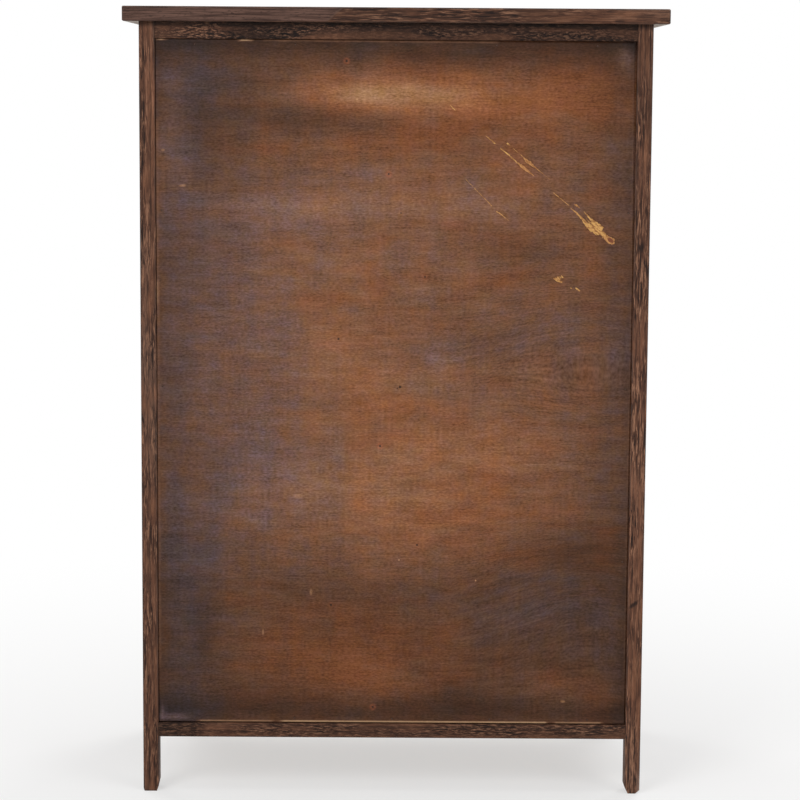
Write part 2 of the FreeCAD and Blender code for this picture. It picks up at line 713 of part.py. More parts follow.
def draw_knob_profile(sketch):
    """Half of a turned knob's section: foot, hollow neck, rim and crown, with its axis upright."""
    foot_radius = sheet.knob_base_diameter / 2
    head_radius = sheet.knob_head_diameter / 2
    rim_height = sheet.knob_head_start + sheet.knob_rim_height
    axis_point = Vector(0, 0, 0)
    foot_edge = Vector(foot_radius, 0, 0)
    foot = Vector(foot_radius, sheet.knob_base_height, 0)
    rim = Vector(head_radius, sheet.knob_head_start, 0)
    rim_top = Vector(head_radius, rim_height, 0)
    centre_top = Vector(0, sheet.knob_projection, 0)
    # The middle points only say which way the two arcs bulge
    neck = (foot + rim) / 2 + Vector(-1, 1, 0)
    crown = (rim_top + centre_top) / 2 + Vector(1, 1, 0)
    sketch.addGeometry([
        Part.LineSegment(axis_point, foot_edge),
        Part.LineSegment(foot_edge, foot),
        Part.Arc(foot, neck, rim),
        Part.LineSegment(rim, rim_top),
        Part.Arc(rim_top, crown, centre_top),
        Part.LineSegment(centre_top, axis_point),
    ], False)
    # An arc's points run anticlockwise, so the neck's arc starts at the rim
    joints = [(0, 2, 1, 1), (1, 2, 2, 2), (2, 1, 3, 1), (3, 2, 4, 1), (4, 2, 5, 1), (5, 2, 0, 1)]
    for joint in joints:
        sketch.addConstraint(Sketcher.Constraint("Coincident", *joint))
    locate(sketch, 0, 1, "0", "0")
    locate(sketch, 1, 1, "knob_base_diameter / 2", "0")
    locate(sketch, 1, 2, "knob_base_diameter / 2", "knob_base_height")
    locate(sketch, 3, 1, "knob_head_diameter / 2", "knob_head_start")
    locate(sketch, 3, 2, "knob_head_diameter / 2", "knob_head_start + knob_rim_height")
    locate(sketch, 4, 2, "0", "knob_projection")
    sketch.addConstraint(Sketcher.Constraint("PointOnObject", 4, 3, -2))
    radius = sketch.addConstraint(Sketcher.Constraint("Radius", 2, sheet.knob_neck_curve))
    bind(sketch, f"Constraints[{radius}]", "knob_neck_curve")


def turned(label, draw, place):
    """A piece turned about its own Z axis, laid down so that it points to the front."""
    body = doc.addObject("PartDesign::Body", label)
    body.Label = label
    place_at(body, place, ABOUT_X)
    sketch = new_sketch(body, f"{label}_profile", "XZ_Plane")
    draw(sketch)
    turning = body.newObject("PartDesign::Revolution", f"{label}_turning")
    turning.Profile = sketch
    turning.ReferenceAxis = (sketch, ["V_Axis"])
    turning.Angle = 360
    doc.recompute()
    return body


def round_rims(body, name, test, radius):
    """Round the circular edges of a turned piece that pass a test."""
    base = body.Tip
    fillet = body.newObject("PartDesign::Fillet", name)
    edges = [f"Edge{number}" for number, edge in enumerate(base.Shape.Edges, start=1) if test(edge)]
    fillet.Base = (base, edges)
    bind(fillet, "Radius", radius)


def is_ring(edge, radius):
    """Whether an edge is a circle of a radius. A point on the axis has no curve."""
    if edge.Degenerated or not isinstance(edge.Curve, Part.Circle):
        return False
    return abs(edge.Curve.Radius - radius) < SAME_PLACE


def make_knobs(row):
    """A pair of turned wooden knobs with blind holes for their screws."""
    label = f"drawer_{row}_knob_left"
    place = ("-knob_spacing / 2", FRONT_Y, f"({row_floor(row)} + {ROW_HEIGHT} / 2)")
    body = turned(label, draw_knob_profile, place)
    head_radius = sheet.knob_head_diameter / 2
    round_rims(body, f"{label}_rim", lambda edge: is_ring(edge, head_radius), "knob_rim_round")
    sketch = new_sketch(body, f"{label}_bore", "XY_Plane")
    circle(sketch, "0", "0", "screw_diameter + 2 * screw_gap")
    bore = body.newObject("PartDesign::Pocket", f"{label}_bore")
    bore.Profile = sketch
    bore.Reversed = True
    bind(bore, "Length", "screw_grip + end_gap")
    nodes[label] = body
    twin = f"drawer_{row}_knob_right"
    nodes[twin] = mirrored(twin, body)


def draw_screw_profile(sketch):
    """Half of a screw's section, from the top of its head to its tip."""
    tip = "screw_head_height + drawer_front_thickness + screw_grip"
    polygon(sketch, [
        ("0", "0"),
        ("screw_head_diameter / 2", "0"),
        ("screw_head_diameter / 2", "screw_head_height"),
        ("screw_diameter / 2", "screw_head_height"),
        ("screw_diameter / 2", tip),
        ("0", tip),
    ])


def make_knob_screws(row):
    """The pair of slotted screws that hold a drawer's knobs from inside."""
    label = f"drawer_{row}_knob_screw"
    place = (
        "-knob_spacing / 2",
        f"({FRONT_Y} + drawer_front_thickness + screw_head_height)",
        f"({row_floor(row)} + {ROW_HEIGHT} / 2)",
    )
    body = turned(label, draw_screw_profile, place)
    head_radius = sheet.screw_head_diameter / 2
    round_rims(
        body,
        f"{label}_head",
        lambda edge: is_ring(edge, head_radius) and abs(edge.Curve.Center.z) < SAME_PLACE,
        "screw_head_round",
    )
    slot = body.newObject("PartDesign::SubtractiveBox", f"{label}_slot")
    bind(slot, "Length", "screw_head_diameter")
    bind(slot, "Width", "screw_slot_width")
    bind(slot, "Height", "screw_slot_depth")
    bind(slot, "Placement.Base.x", "-screw_head_diameter / 2")
    bind(slot, "Placement.Base.y", "-screw_slot_width / 2")
    pair = doc.addObject("Part::Compound", f"drawer_{row}_knob_screws")
    pair.Label = f"drawer_{row}_knob_screws"
    pair.Links = [body, mirrored(f"{label}_twin", body)]
    nodes[pair.Label] = pair


def make_pin(place, axis, angle):
    """One brad, a plain round wire that is driven along an axis."""
    pin = doc.addObject("Part::Cylinder", "pin")
    bind(pin, "Radius", "pin_diameter / 2")
    bind(pin, "Height", "pin_length")
    place_at(pin, place, Rotation(axis, angle))
    return pin


def make_carcass_pins():
    """The brads: through the back panel into rails and runners, and through runners into posts."""
    panel_face = f"({BACK_PANEL_Y} + back_panel_thickness)"
    pins = []
    for column in pin_columns():
        for height in (f"({OPENING_BOTTOM} + ledge_height / 2)", f"({OPENING_TOP} - ledge_height / 2)"):
            place = (f"({column} - {HALF_INNER})", panel_face, height)
            pins.append(make_pin(place, Vector(1, 0, 0), 90))
    for row in range(1, DRAWER_ROWS):
        middle = f"({row_floor(row)} - divider_height / 2)"
        for sign, turn in (("-", -90), ("", 90)):
            end = (f"{sign}({HALF_INNER} - runner_width / 2)", panel_face, middle)
            pins.append(make_pin(end, Vector(1, 0, 0), 90))
            flank_y = f"({BACK_POST_Y} + runner_pin_inset)"
            flank = (f"{sign}({HALF_INNER} - runner_width)", flank_y, runner_pin_height(row))
            pins.append(make_pin(flank, Vector(0, 1, 0), turn))
    group = doc.addObject("Part::Compound", "carcass_pins")
    group.Label = "carcass_pins"
    group.Links = pins
    nodes["carcass_pins"] = group


def find_faults():
    """Names of failed objects, bad shapes, and cuts or pads that changed nothing."""
    faults = [item.Label for item in doc.Objects if {"Invalid", "Error"} & set(item.State)]
    if faults:
        return faults
    for item in doc.Objects:
        if item.TypeId in ("PartDesign::Pocket", "PartDesign::SubtractiveBox"):
            if item.Shape.Volume > item.BaseFeature.Shape.Volume - LEAST_CHANGE:
                faults.append(f"{item.Label} cuts nothing")
        if item.TypeId == "PartDesign::Pad" and item.BaseFeature:
            if item.Shape.Volume < item.BaseFeature.Shape.Volume + LEAST_CHANGE:
                faults.append(f"{item.Label} adds nothing")
    for label, node in nodes.items():
        if node.Shape.isNull() or not node.Shape.isValid() or not node.Shape.Solids:
            faults.append(f"{label} has no valid solid")
    return faults


make_top_board()
make_front_posts()
make_back_posts()
make_front_rails()
make_back_rails()
make_side_rails()
make_side_panels()
make_back_panel()
make_runners()
for drawer_row in range(1, DRAWER_ROWS + 1):
    make_drawer_front(drawer_row)
    make_drawer_sides(drawer_row)
    make_drawer_back(drawer_row)
    make_drawer_bottom(drawer_row)
    make_knobs(drawer_row)
    make_knob_screws(drawer_row)
make_carcass_pins()
doc.recompute()

found = find_faults()
if found:
    raise RuntimeError("faults: " + "; ".join(found))

os.makedirs("parts", exist_ok=True)
for node_label, node_object in nodes.items():
    node_object.Shape.exportStep(f"parts/{node_label}.step")
print(len(nodes), "sub-parts written")
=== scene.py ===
"""Looks of the small chest of drawers: charred frame, stained panels and bare wood drawers."""

import math
import random

import bmesh
import bpy
import numpy as np
from mathutils import Matrix, Vector, noise


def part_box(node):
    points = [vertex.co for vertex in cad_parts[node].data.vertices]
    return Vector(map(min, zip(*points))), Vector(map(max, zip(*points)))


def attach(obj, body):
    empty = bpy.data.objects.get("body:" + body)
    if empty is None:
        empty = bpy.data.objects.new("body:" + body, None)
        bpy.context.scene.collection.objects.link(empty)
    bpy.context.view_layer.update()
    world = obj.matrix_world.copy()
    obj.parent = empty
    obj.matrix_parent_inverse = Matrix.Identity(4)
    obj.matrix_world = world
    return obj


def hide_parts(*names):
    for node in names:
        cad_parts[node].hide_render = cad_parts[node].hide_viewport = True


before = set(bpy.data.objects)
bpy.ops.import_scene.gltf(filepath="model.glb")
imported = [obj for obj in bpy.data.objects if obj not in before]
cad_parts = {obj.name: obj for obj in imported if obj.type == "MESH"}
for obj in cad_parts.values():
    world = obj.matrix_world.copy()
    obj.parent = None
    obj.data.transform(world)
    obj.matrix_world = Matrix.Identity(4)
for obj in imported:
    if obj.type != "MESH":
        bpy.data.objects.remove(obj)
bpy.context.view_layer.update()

# One millimetre in scene units
MM = 0.001
# The drawers' rows from the top down, and the chest's two sides
ROWS = (1, 2, 3, 4)
HANDS = ("left", "right")
# The range that noise from 0 to 1 mostly keeps to
NOISE_RANGE = (0.3, 0.7)


class Value:
    """A value in a material's nodes, which + - and * work on as on a number."""

    def __init__(self, graph, socket):
        self.graph = graph
        self.socket = socket

    def __add__(self, other):
        return self.graph.math("ADD", self, other)

    def __radd__(self, other):
        return self.graph.math("ADD", other, self)

    def __sub__(self, other):
        return self.graph.math("SUBTRACT", self, other)

    def __rsub__(self, other):
        return self.graph.math("SUBTRACT", other, self)

    def __mul__(self, other):
        return self.graph.math("MULTIPLY", self, other)

    def span(self, low, high, start=0.0, end=1.0, **settings):
        """A straight ramp from start to end while the value goes from low to high."""
        inputs = {"Value": self, "From Min": low, "From Max": high, "To Min": start, "To Max": end}
        return self.graph.out("MapRange", inputs, **settings)

    def rise(self, low, high, start=0.0, end=1.0):
        """A smooth step from start to end while the value goes from low to high."""
        return self.span(low, high, start, end, interpolation_type="SMOOTHSTEP")

    def vary(self, start, end):
        """A straight ramp over the range that noise mostly keeps to."""
        return self.span(*NOISE_RANGE, start, end)

    def swing(self, amount):
        """How far a value from 0 to 1 is off its middle, times an amount."""
        return (self - 0.5) * amount


class Graph:
    """The nodes of one material, or of the world. What goes in may be a number, a tuple or a Value."""

    def __init__(self, name, kind="materials"):
        self.owner = getattr(bpy.data, kind).new(name)
        self.owner.use_nodes = True
        self.tree = self.owner.node_tree
        self.tree.nodes.clear()

    def node(self, kind, values=None, **settings):
        """Add a node, set it up and feed its inputs."""
        made = self.tree.nodes.new(f"ShaderNode{kind}")
        for name, setting in settings.items():
            setattr(made, name, setting)
        for name, value in (values or {}).items():
            if isinstance(value, Value):
                self.tree.links.new(value.socket, made.inputs[name])
            else:
                made.inputs[name].default_value = value
        return made

    def out(self, kind, values=None, output=0, **settings):
        """One output of a new node."""
        return Value(self, self.node(kind, values, **settings).outputs[output])

    def math(self, operation, *values):
        """One step of arithmetic."""
        return self.out("Math", dict(enumerate(values)), operation=operation)

    def larger(self, first, second):
        return self.math("MAXIMUM", first, second)

    def smaller(self, first, second):
        return self.math("MINIMUM", first, second)

    def mix(self, share, first, second, how="MIX"):
        """Lay the second colour over the first."""
        inputs = {0: share, 6: opaque(first), 7: opaque(second)}
        return self.out("Mix", inputs, 2, data_type="RGBA", blend_type=how)

    def shade(self, colour, amount):
        """A colour made lighter or darker by a factor."""
        return self.out("VectorMath", {0: colour, "Scale": amount}, operation="SCALE")

    def tint(self, vector, factors):
        """A colour or a place with each part multiplied by its own factor."""
        return self.out("VectorMath", {0: vector, 1: factors}, operation="MULTIPLY")

    def length(self, vector):
        """A vector's length."""
        return self.out("VectorMath", {0: vector}, "Value", operation="LENGTH")

    def split(self, vector):
        """The three parts of a vector."""
        return [Value(self, part) for part in self.node("SeparateXYZ", {0: vector}).outputs]

    def join(self, *parts):
        """A vector from three parts."""
        return self.out("CombineXYZ", dict(enumerate(parts)))

    def noise(self, place, scales, detail=2.0, roughness=0.5, distortion=0.0):
        """Soft noise from 0 to 1, packed closer along each axis by its own scale."""
        shape = {"Scale": 1.0, "Detail": detail, "Roughness": roughness, "Distortion": distortion}
        return self.out("TexNoise", {"Vector": self.tint(place, scales), **shape})

    def place(self):
        """A point's place on the object, which travels with the piece."""
        return self.out("TexCoord", output="Object")

    def painted(self, name):
        """A value that the mesh carries at its points."""
        return self.out("Attribute", output="Fac", attribute_name=name)

    def bump(self, height, depth, strength=1.0):
        """Relief from a height between 0 and 1, with its full depth in metres."""
        return self.out("Bump", {"Height": height, "Distance": depth, "Strength": strength})

    def finish(self, colour, roughness, normal, specular=0.4, metallic=0.0):
        """Close the material with one surface shader."""
        look = {"Base Color": colour, "Roughness": roughness, "Normal": normal,
                "Specular IOR Level": specular, "Metallic": metallic}
        self.node("OutputMaterial", {"Surface": self.out("BsdfPrincipled", look)})
        return self.owner


def opaque(colour):
    """A colour of three numbers with full opacity added. Anything else stays as it is."""
    return (*colour, 1.0) if isinstance(colour, tuple) else colour


# Order of the parts of a place as along the grain, across it and through it
GRAIN_ORDER = {"X": (0, 2, 1), "Y": (1, 2, 0), "Z": (2, 0, 1)}


def grown(graph, grain, low, high, seed, ring_width, fleck_length=14 * MM, fleck_width=1.7 * MM):
    """The growth of a board cut from a trunk: late wood, long streaks, pores, flecks and slow change.

    The trunk's heart lies beside the board, so that rings cross its faces as they do in real stock.
    """
    dice = random.Random(seed)
    parts = graph.split(graph.place())
    along, across, through = (parts[part] for part in GRAIN_ORDER[grain])
    turn = dice.uniform(0.0, 2.0 * math.pi)
    reach = dice.uniform(0.05, 0.12)
    centre_across, centre_through = ((low[part] + high[part]) / 2 for part in GRAIN_ORDER[grain][1:])
    heart_across = centre_across + reach * math.cos(turn)
    heart_through = centre_through + reach * math.sin(turn)
    board = graph.join(*(part + dice.uniform(3.0, 9.0) for part in (along, across, through)))
    from_heart = graph.join(across - heart_across, through - heart_through, 0.0)
    wide_sway = graph.noise(board, (2.2, 9, 9)).swing(30 * MM)
    small_sway = graph.noise(board, (16, 90, 90)).swing(3.5 * MM)
    uneven = graph.noise(from_heart, (45, 45, 1), 2).swing(16 * MM)
    swayed = graph.length(from_heart) + uneven + (wide_sway + small_sway)
    rings = graph.math("FRACT", swayed * (1 / ring_width))
    late = rings.rise(0.35, 0.9) * rings.rise(1.0, 0.93)
    packed = (1 / fleck_length, 1 / fleck_width, 1 / fleck_width)
    return {
        "board": board,
        "late": late,
        "streak": graph.noise(board, packed, 3, 0.6, 0.7),
        "pores": graph.noise(board, tuple(2.1 * part for part in packed), 2, 0.6, 0.3),
        "slow": graph.noise(board, (3.5, 14, 14), 3),
        "patch": graph.noise(board, (17, 75, 75), 2, 0.5, 0.3),
    }


def edge_distance(graph, low, high):
    """How far a point of a board's surface is from the nearest arris, in metres."""
    inward = []
    for part, start, end in zip(graph.split(graph.place()), low, high):
        off_middle = graph.math("ABSOLUTE", part - (start + end) / 2)
        inward.append((end - start) / 2 - off_middle)
    first, second, third = inward
    return graph.larger(graph.smaller(first, second), graph.smaller(graph.larger(first, second), third))


# Charred and brushed wood
CHAR_BLACK = (0.012, 0.007, 0.006)
CHAR_BODY = (0.122, 0.051, 0.029)
CHAR_GREY = (0.106, 0.063, 0.046)
CHAR_ORANGE = (0.185, 0.080, 0.042)
CHAR_LIGHT = (0.33, 0.166, 0.098)
CHAR_ARRIS = (0.070, 0.045, 0.036)
SMOOTH_DARK = (0.036, 0.018, 0.0135)
SMOOTH_LIGHT = (0.136, 0.074, 0.056)
WORN_END = (0.26, 0.170, 0.130)
# The grain in the top board's back edge changes at a slanting seam, where x + slant * z is from start
# to end
SEAM_SLANT = 1.1
SEAM_START = 0.944
SEAM_END = 0.9462
# Turned knobs
KNOB_BODY = (0.052, 0.026, 0.018)
KNOB_DARK = (0.014, 0.008, 0.006)
KNOB_WORN = (0.115, 0.058, 0.036)
# Bare wood, its late rings and its pores, bare wood tinted grey, and bare ply
BARE_BODY = (0.56, 0.385, 0.225)
BARE_LATE = (0.40, 0.245, 0.125)
BARE_PORE = (0.30, 0.18, 0.09)
GREYED_WOOD = (0.42, 0.385, 0.35)
PLY_DARK = (0.50, 0.33, 0.17)
PLY_LIGHT = (0.64, 0.455, 0.265)
PLY_FIGURE = (0.50, 0.32, 0.165)
# On a wide face, the share of tan flecks and of dark rings
WIDE_FLECKS = 0.28
WIDE_RINGS = 0.62
# Share of light that stained and charred surfaces mirror
DULL_SHEEN = 0.15


def charred_colour(graph, growth, low, high, tone, fleck_share, ring_share, burnt):
    """Colour of charred wood: brown body in uneven patches, black lines, tan flecks and dull arrises."""
    slow, patch = growth["slow"], growth["patch"]
    colour = graph.mix(slow.rise(0.50, 0.72, 0.0, 0.7), CHAR_BODY, CHAR_GREY)
    colour = graph.mix(patch.rise(0.53, 0.68, 0.0, 0.6), colour, CHAR_ORANGE)
    colour = graph.shade(colour, slow.vary(0.70, 1.30))
    colour = graph.shade(colour, patch.vary(0.78, 1.22))
    bold = patch.rise(0.62, 0.40, 0.35, 1.0)
    colour = graph.mix(growth["late"] * ring_share, colour, CHAR_BLACK)
    fleck = growth["streak"].rise(0.51, 0.60) * growth["pores"].rise(0.36, 0.54)
    colour = graph.mix(fleck * bold * fleck_share, colour, CHAR_LIGHT)
    line = graph.larger(growth["streak"].rise(0.46 + burnt, 0.39 + burnt),
                        growth["pores"].rise(0.41 + burnt, 0.33 + burnt))
    colour = graph.mix(line * bold * 0.88, colour, CHAR_BLACK)
    # Arrises greyer in patches: partly rubbed wear and partly a painted sheen where the rounded edges catch
    # light
    arris = edge_distance(graph, low, high).rise(2.0 * MM, 0.7 * MM)
    worn = graph.noise(growth["board"], (60, 160, 160), 3).rise(0.36, 0.60)
    colour = graph.mix(arris * worn * 0.55, colour, CHAR_ARRIS)
    return graph.shade(colour, tone)


def charred_wood(name, grain, seed, low, high, tone=1.0, patches=(), wide_side=None, ring_width=6.5 * MM,
                 burnt=0.0, **flecks):
    """Charred, brushed wood for a board whose visible body reaches from low to high.

    A wide side, given as an axis and a sign, shows more of the rings and fewer flecks. A board may be burnt
    deeper than the others, which widens its black lines.
    """
    graph = Graph(name)
    growth = grown(graph, grain, low, high, seed, ring_width, **flecks)
    fleck_share, ring_share = 0.85, 0.45
    if wide_side:
        wide = facing(graph, *wide_side)
        fleck_share = wide.span(0.0, 1.0, fleck_share, WIDE_FLECKS)
        ring_share = wide.span(0.0, 1.0, ring_share, WIDE_RINGS)
    colour = charred_colour(graph, growth, low, high, tone, fleck_share, ring_share, burnt)
    for patch in patches:
        colour = patch(graph, growth, colour)
    height = growth["streak"] * 0.6 + growth["pores"] * 0.4
    height -= growth["late"] * 0.15
    roughness = growth["streak"].vary(0.66, 0.46)
    return graph.finish(colour, roughness, graph.bump(height, 1.0 * MM, 0.8), DULL_SHEEN)


def bare_wood(name, grain, seed, low, high, patches=()):
    """Planed light wood without finish."""
    graph = Graph(name)
    growth = grown(graph, grain, low, high, seed, 8.5 * MM, 36 * MM, 2.4 * MM)
    colour = bare_colour(graph, growth)
    arris = edge_distance(graph, low, high).rise(1.6 * MM, 0.2 * MM)
    colour = graph.mix(arris * 0.25, colour, BARE_LATE)
    for patch in patches:
        colour = patch(graph, growth, colour)
    height = growth["late"] * 0.3 + growth["pores"] * 0.7
    roughness = growth["pores"].vary(0.72, 0.55)
    return graph.finish(colour, roughness, graph.bump(height, 0.25 * MM, 0.5), 0.3)


def bare_colour(graph, growth):
    """Colour of bare wood: rings, fine fibres and a slow change of tone."""
    tone = growth["slow"].vary(0.86, 1.1)
    colour = graph.mix(1.0, BARE_BODY, graph.join(tone, tone, tone), "MULTIPLY")
    colour = graph.mix(growth["late"] * 0.55, colour, BARE_LATE)
    colour = graph.mix(growth["streak"].rise(0.62, 0.40, 0.0, 0.30), colour, BARE_LATE)
    return graph.mix(growth["pores"].rise(0.40, 0.30, 0.0, 0.55), colour, BARE_PORE)


def turned_wood(name, seed, middle):
    """Dark, waxed wood of a turned knob, with its rings and the fine lines that the tool left."""
    graph = Graph(name)
    growth = grown(graph, "Z", middle, middle, seed, 2.8 * MM, 9 * MM, 0.8 * MM)
    colour = graph.mix(growth["late"] * 0.6, KNOB_BODY, KNOB_DARK)
    colour = graph.mix(growth["pores"].rise(0.42, 0.32, 0.0, 0.8), colour, KNOB_DARK)
    colour = graph.shade(colour, growth["slow"].vary(0.75, 1.25))
    x, _, z = graph.split(graph.place())
    off = graph.join(x - middle[0], z - middle[2], 0.0)
    radius = graph.length(off)
    worn = radius.rise(13.5 * MM, 16 * MM) * facing(graph, "Y", -1)
    colour = graph.mix(worn * 0.5, colour, KNOB_WORN)
    lines = graph.math("SINE", radius * (2.0 * math.pi / (0.7 * MM)))
    height = growth["pores"] * 0.8 + lines * 0.10
    roughness = growth["pores"].vary(0.42, 0.30)
    return graph.finish(colour, roughness, graph.bump(height, 0.2 * MM, 0.6), 0.4)


def facing(graph, axis, sign):
    """1 on faces whose normal points along one axis of the chest, and 0 elsewhere."""
    part = graph.split(graph.out("NewGeometry", output="Normal"))["XYZ".index(axis)]
    return (part * sign).rise(0.6, 0.8)


def bare_underside(graph, growth, colour):
    """The top board's underside, left bare and tinted grey, with stain drawn round its back edge."""
    _, y, _ = graph.split(graph.place())
    ragged = y + growth["pores"].swing(6 * MM)
    share = facing(graph, "Z", -1) * ragged.rise(0.145, 0.139)
    grey = graph.mix(0.75, bare_colour(graph, growth), GREYED_WOOD)
    return graph.mix(share, colour, grey)


def bare_side(axis, sign):
    """A patch that leaves one side of a charred board bare."""
    def lay(graph, growth, colour):
        return graph.mix(facing(graph, axis, sign), colour, bare_colour(graph, growth))
    return lay


def smoother_stretch(graph, growth, colour):
    """The seen left part of the top board's back edge, greyer and straighter in its grain."""
    x, _, z = graph.split(graph.place())
    off = x + z * SEAM_SLANT
    inside = off.rise(SEAM_START, SEAM_END)
    back = facing(graph, "Y", 1)
    fibre = graph.noise(growth["board"], (22, 800, 800), 4, 0.65)
    speck = graph.noise(growth["board"], (220, 900, 900), 2, 0.5)
    grey = graph.mix(fibre.rise(0.36, 0.64), SMOOTH_DARK, SMOOTH_LIGHT)
    grey = graph.mix(speck.rise(0.42, 0.30, 0.0, 0.7), grey, CHAR_BLACK)
    seam = off.rise(SEAM_START - 1.2 * MM, SEAM_START) * off.rise(SEAM_END, SEAM_END - 1.2 * MM)
    colour = graph.mix(inside * back * 0.9, colour, grey)
    return graph.mix(seam * back * 0.5, colour, CHAR_GREY)


def painted_shadow_under_top(graph, growth, colour):
    """Painted shadow on the back right under the top board, darkening its top few millimetres."""
    _, _, z = graph.split(graph.place())
    ragged = z + growth["pores"].swing(4 * MM)
    return graph.shade(colour, ragged.rise(top_z - 8 * MM, top_z - 2 * MM, 1.0, 0.5))


def toned(axis, middle, half, factor):
    """A patch that changes a board's tone round one place along its length."""
    def lay(graph, growth, colour):
        part = graph.split(graph.place())["XYZ".index(axis)]
        off = graph.math("ABSOLUTE", part - middle)
        off += growth["streak"].swing(0.5 * half)
        return graph.shade(colour, off.rise(1.3 * half, 0.6 * half, 1.0, factor))
    return lay


def knot_at(x, z, radius, slant=0.0):
    """A patch with one dark knot on a board's back face."""
    def lay(graph, growth, colour):
        place_x, _, place_z = graph.split(graph.place())
        off_x, off_z = place_x - x, place_z - z
        off = graph.join(off_x + off_z * slant, off_z * 0.7, 0.0)
        uneven = graph.length(off) + growth["pores"].swing(6 * MM)
        return graph.mix(uneven.rise(radius, 0.3 * radius, 0.0, 0.85), colour, CHAR_BLACK)
    return lay


def worn_foot(graph, growth, colour):
    """The back left foot's outer corner, rubbed down to lighter wood."""
    x, _, z = graph.split(graph.place())
    low_part = z.rise(0.030, 0.012)
    outer = x.rise(-0.2545, -0.2575)
    ragged = growth["streak"].rise(0.42, 0.56)
    share = low_part * outer * ragged.span(0, 1, 0.35, 0.95)
    return graph.mix(share, colour, WORN_END)


def stained_end(graph, growth, colour):
    """The back end of a runner, darkened where the frame was stained round it."""
    stain = graph.shade(CHAR_BODY, growth["pores"].span(0, 1, 0.2, 0.6))
    return graph.mix(facing(graph, "Y", 1), colour, stain)


# Stained rotary-cut veneer
STAIN_BODY = (0.178, 0.075, 0.041)
STAIN_WARM = (0.240, 0.088, 0.034)
STAIN_DARK = (0.050, 0.020, 0.013)
STAIN_COOL = (0.094, 0.056, 0.046)
# Grey brown, brown and orange brown, as they would be at a full share of light, and the cast of paler wood
COOL_CAST = (1.44, 0.88, 0.83)
BROWN_CAST = (1.82, 0.815, 0.44)
ORANGE_CAST = (2.14, 0.732, 0.27)
PALE_CAST = (1.68, 0.87, 0.41)
# Light that the panel's sheen adds to its colour
SHEEN_LIGHT = 0.009
RAW_CREAM = (0.62, 0.345, 0.112)
RAW_ORANGE = (0.43, 0.180, 0.072)
RAW_SHADE = (0.24, 0.092, 0.028)
TIP_BROWN = (0.165, 0.048, 0.025)
KNOT_RING = (0.34, 0.095, 0.038)
KNOT_BLACK = (0.020, 0.011, 0.010)
MARK_TAN = (0.42, 0.215, 0.105)
RUB_BROWN = (0.26, 0.125, 0.070)
RUB_PALE = (0.46, 0.285, 0.160)
# How far each part of the veneer's texture changes its tone, and the warmth of the back panel's stain
VENEER_TONE = (("streak", 0.14), ("band", 0.10), ("knife", 0.05), ("cloud", 0.11), ("column", 0.06))
STAIN_WARMTH = (("drift", 0.8), ("column", 0.8), ("hue", 0.5), ("mottle", 0.3))


def veneer_texture(graph, board):
    """Texture of cut veneer: flecks, streaks, knife lines, pores, and soft changes from small to wide."""
    return {
        "fleck": graph.noise(board, (300, 680, 1), 2, 0.5),
        "streak": graph.noise(board, (46, 430, 1), 3, 0.6, 0.2),
        "band": graph.noise(board, (17, 150, 1), 3, 0.6, 0.3),
        "knife": graph.noise(board, (300, 10, 1), 3, 0.6),
        "pores": graph.noise(board, (260, 1500, 1), 2, 0.5),
        "mottle": graph.noise(board, (95, 80, 1), 2, 0.5),
        "hue": graph.noise(board, (20, 46, 1), 2, 0.6),
        "cloud": graph.noise(board, (24, 60, 1), 3, 0.55),
        "drift": graph.noise(board, (11, 42, 1), 3, 0.6, 0.4),
        "column": graph.noise(board, (42, 10, 1), 2, 0.5),
    }


def veneer_colour(graph, texture, colour, depth=1.0):
    """Work the texture of the veneer into a colour. A smaller depth keeps the change smaller."""
    level = texture["fleck"].span(0.25, 0.75, 1 - 0.34 * depth, 1 + 0.34 * depth)
    for part, amount in VENEER_TONE:
        level += texture[part].vary(-amount * depth, amount * depth)
    # Light flecks are paler and dark ones are deeper in colour
    deeper = graph.join(level, graph.math("POWER", level, 1.2), graph.math("POWER", level, 1.5))
    colour = graph.tint(colour, deeper)
    # It turns redder and greener a little, and yellower and bluer more
    redder = texture["hue"].vary(-0.025 * depth, 0.025 * depth)
    yellower = texture["mottle"].vary(-0.13 * depth, 0.13 * depth)
    colour = graph.tint(colour, graph.join(
        1.0 + redder * 0.35,
        1.0 - redder * 0.9,
        1.0 - (redder * 0.4 + yellower)))
    return graph.mix(texture["pores"].rise(0.36, 0.26, 0.0, 0.22 * depth), colour, STAIN_DARK)


def veneer_height(graph, texture):
    """Relief of the veneer's surface."""
    return texture["streak"] * 0.6 + texture["pores"] * 0.4


def veneer_finish(graph, colour, texture, height):
    """Close the material of a stained veneer."""
    roughness = texture["streak"].vary(0.60, 0.46)
    return graph.finish(colour, roughness, graph.bump(height, 0.35 * MM, 0.6), DULL_SHEEN)


def raw_ply(graph, texture):
    """Colour of unstained veneer."""
    colour = graph.mix(texture["cloud"].rise(0.36, 0.64), PLY_DARK, PLY_LIGHT)
    return veneer_colour(graph, texture, colour, 0.35)


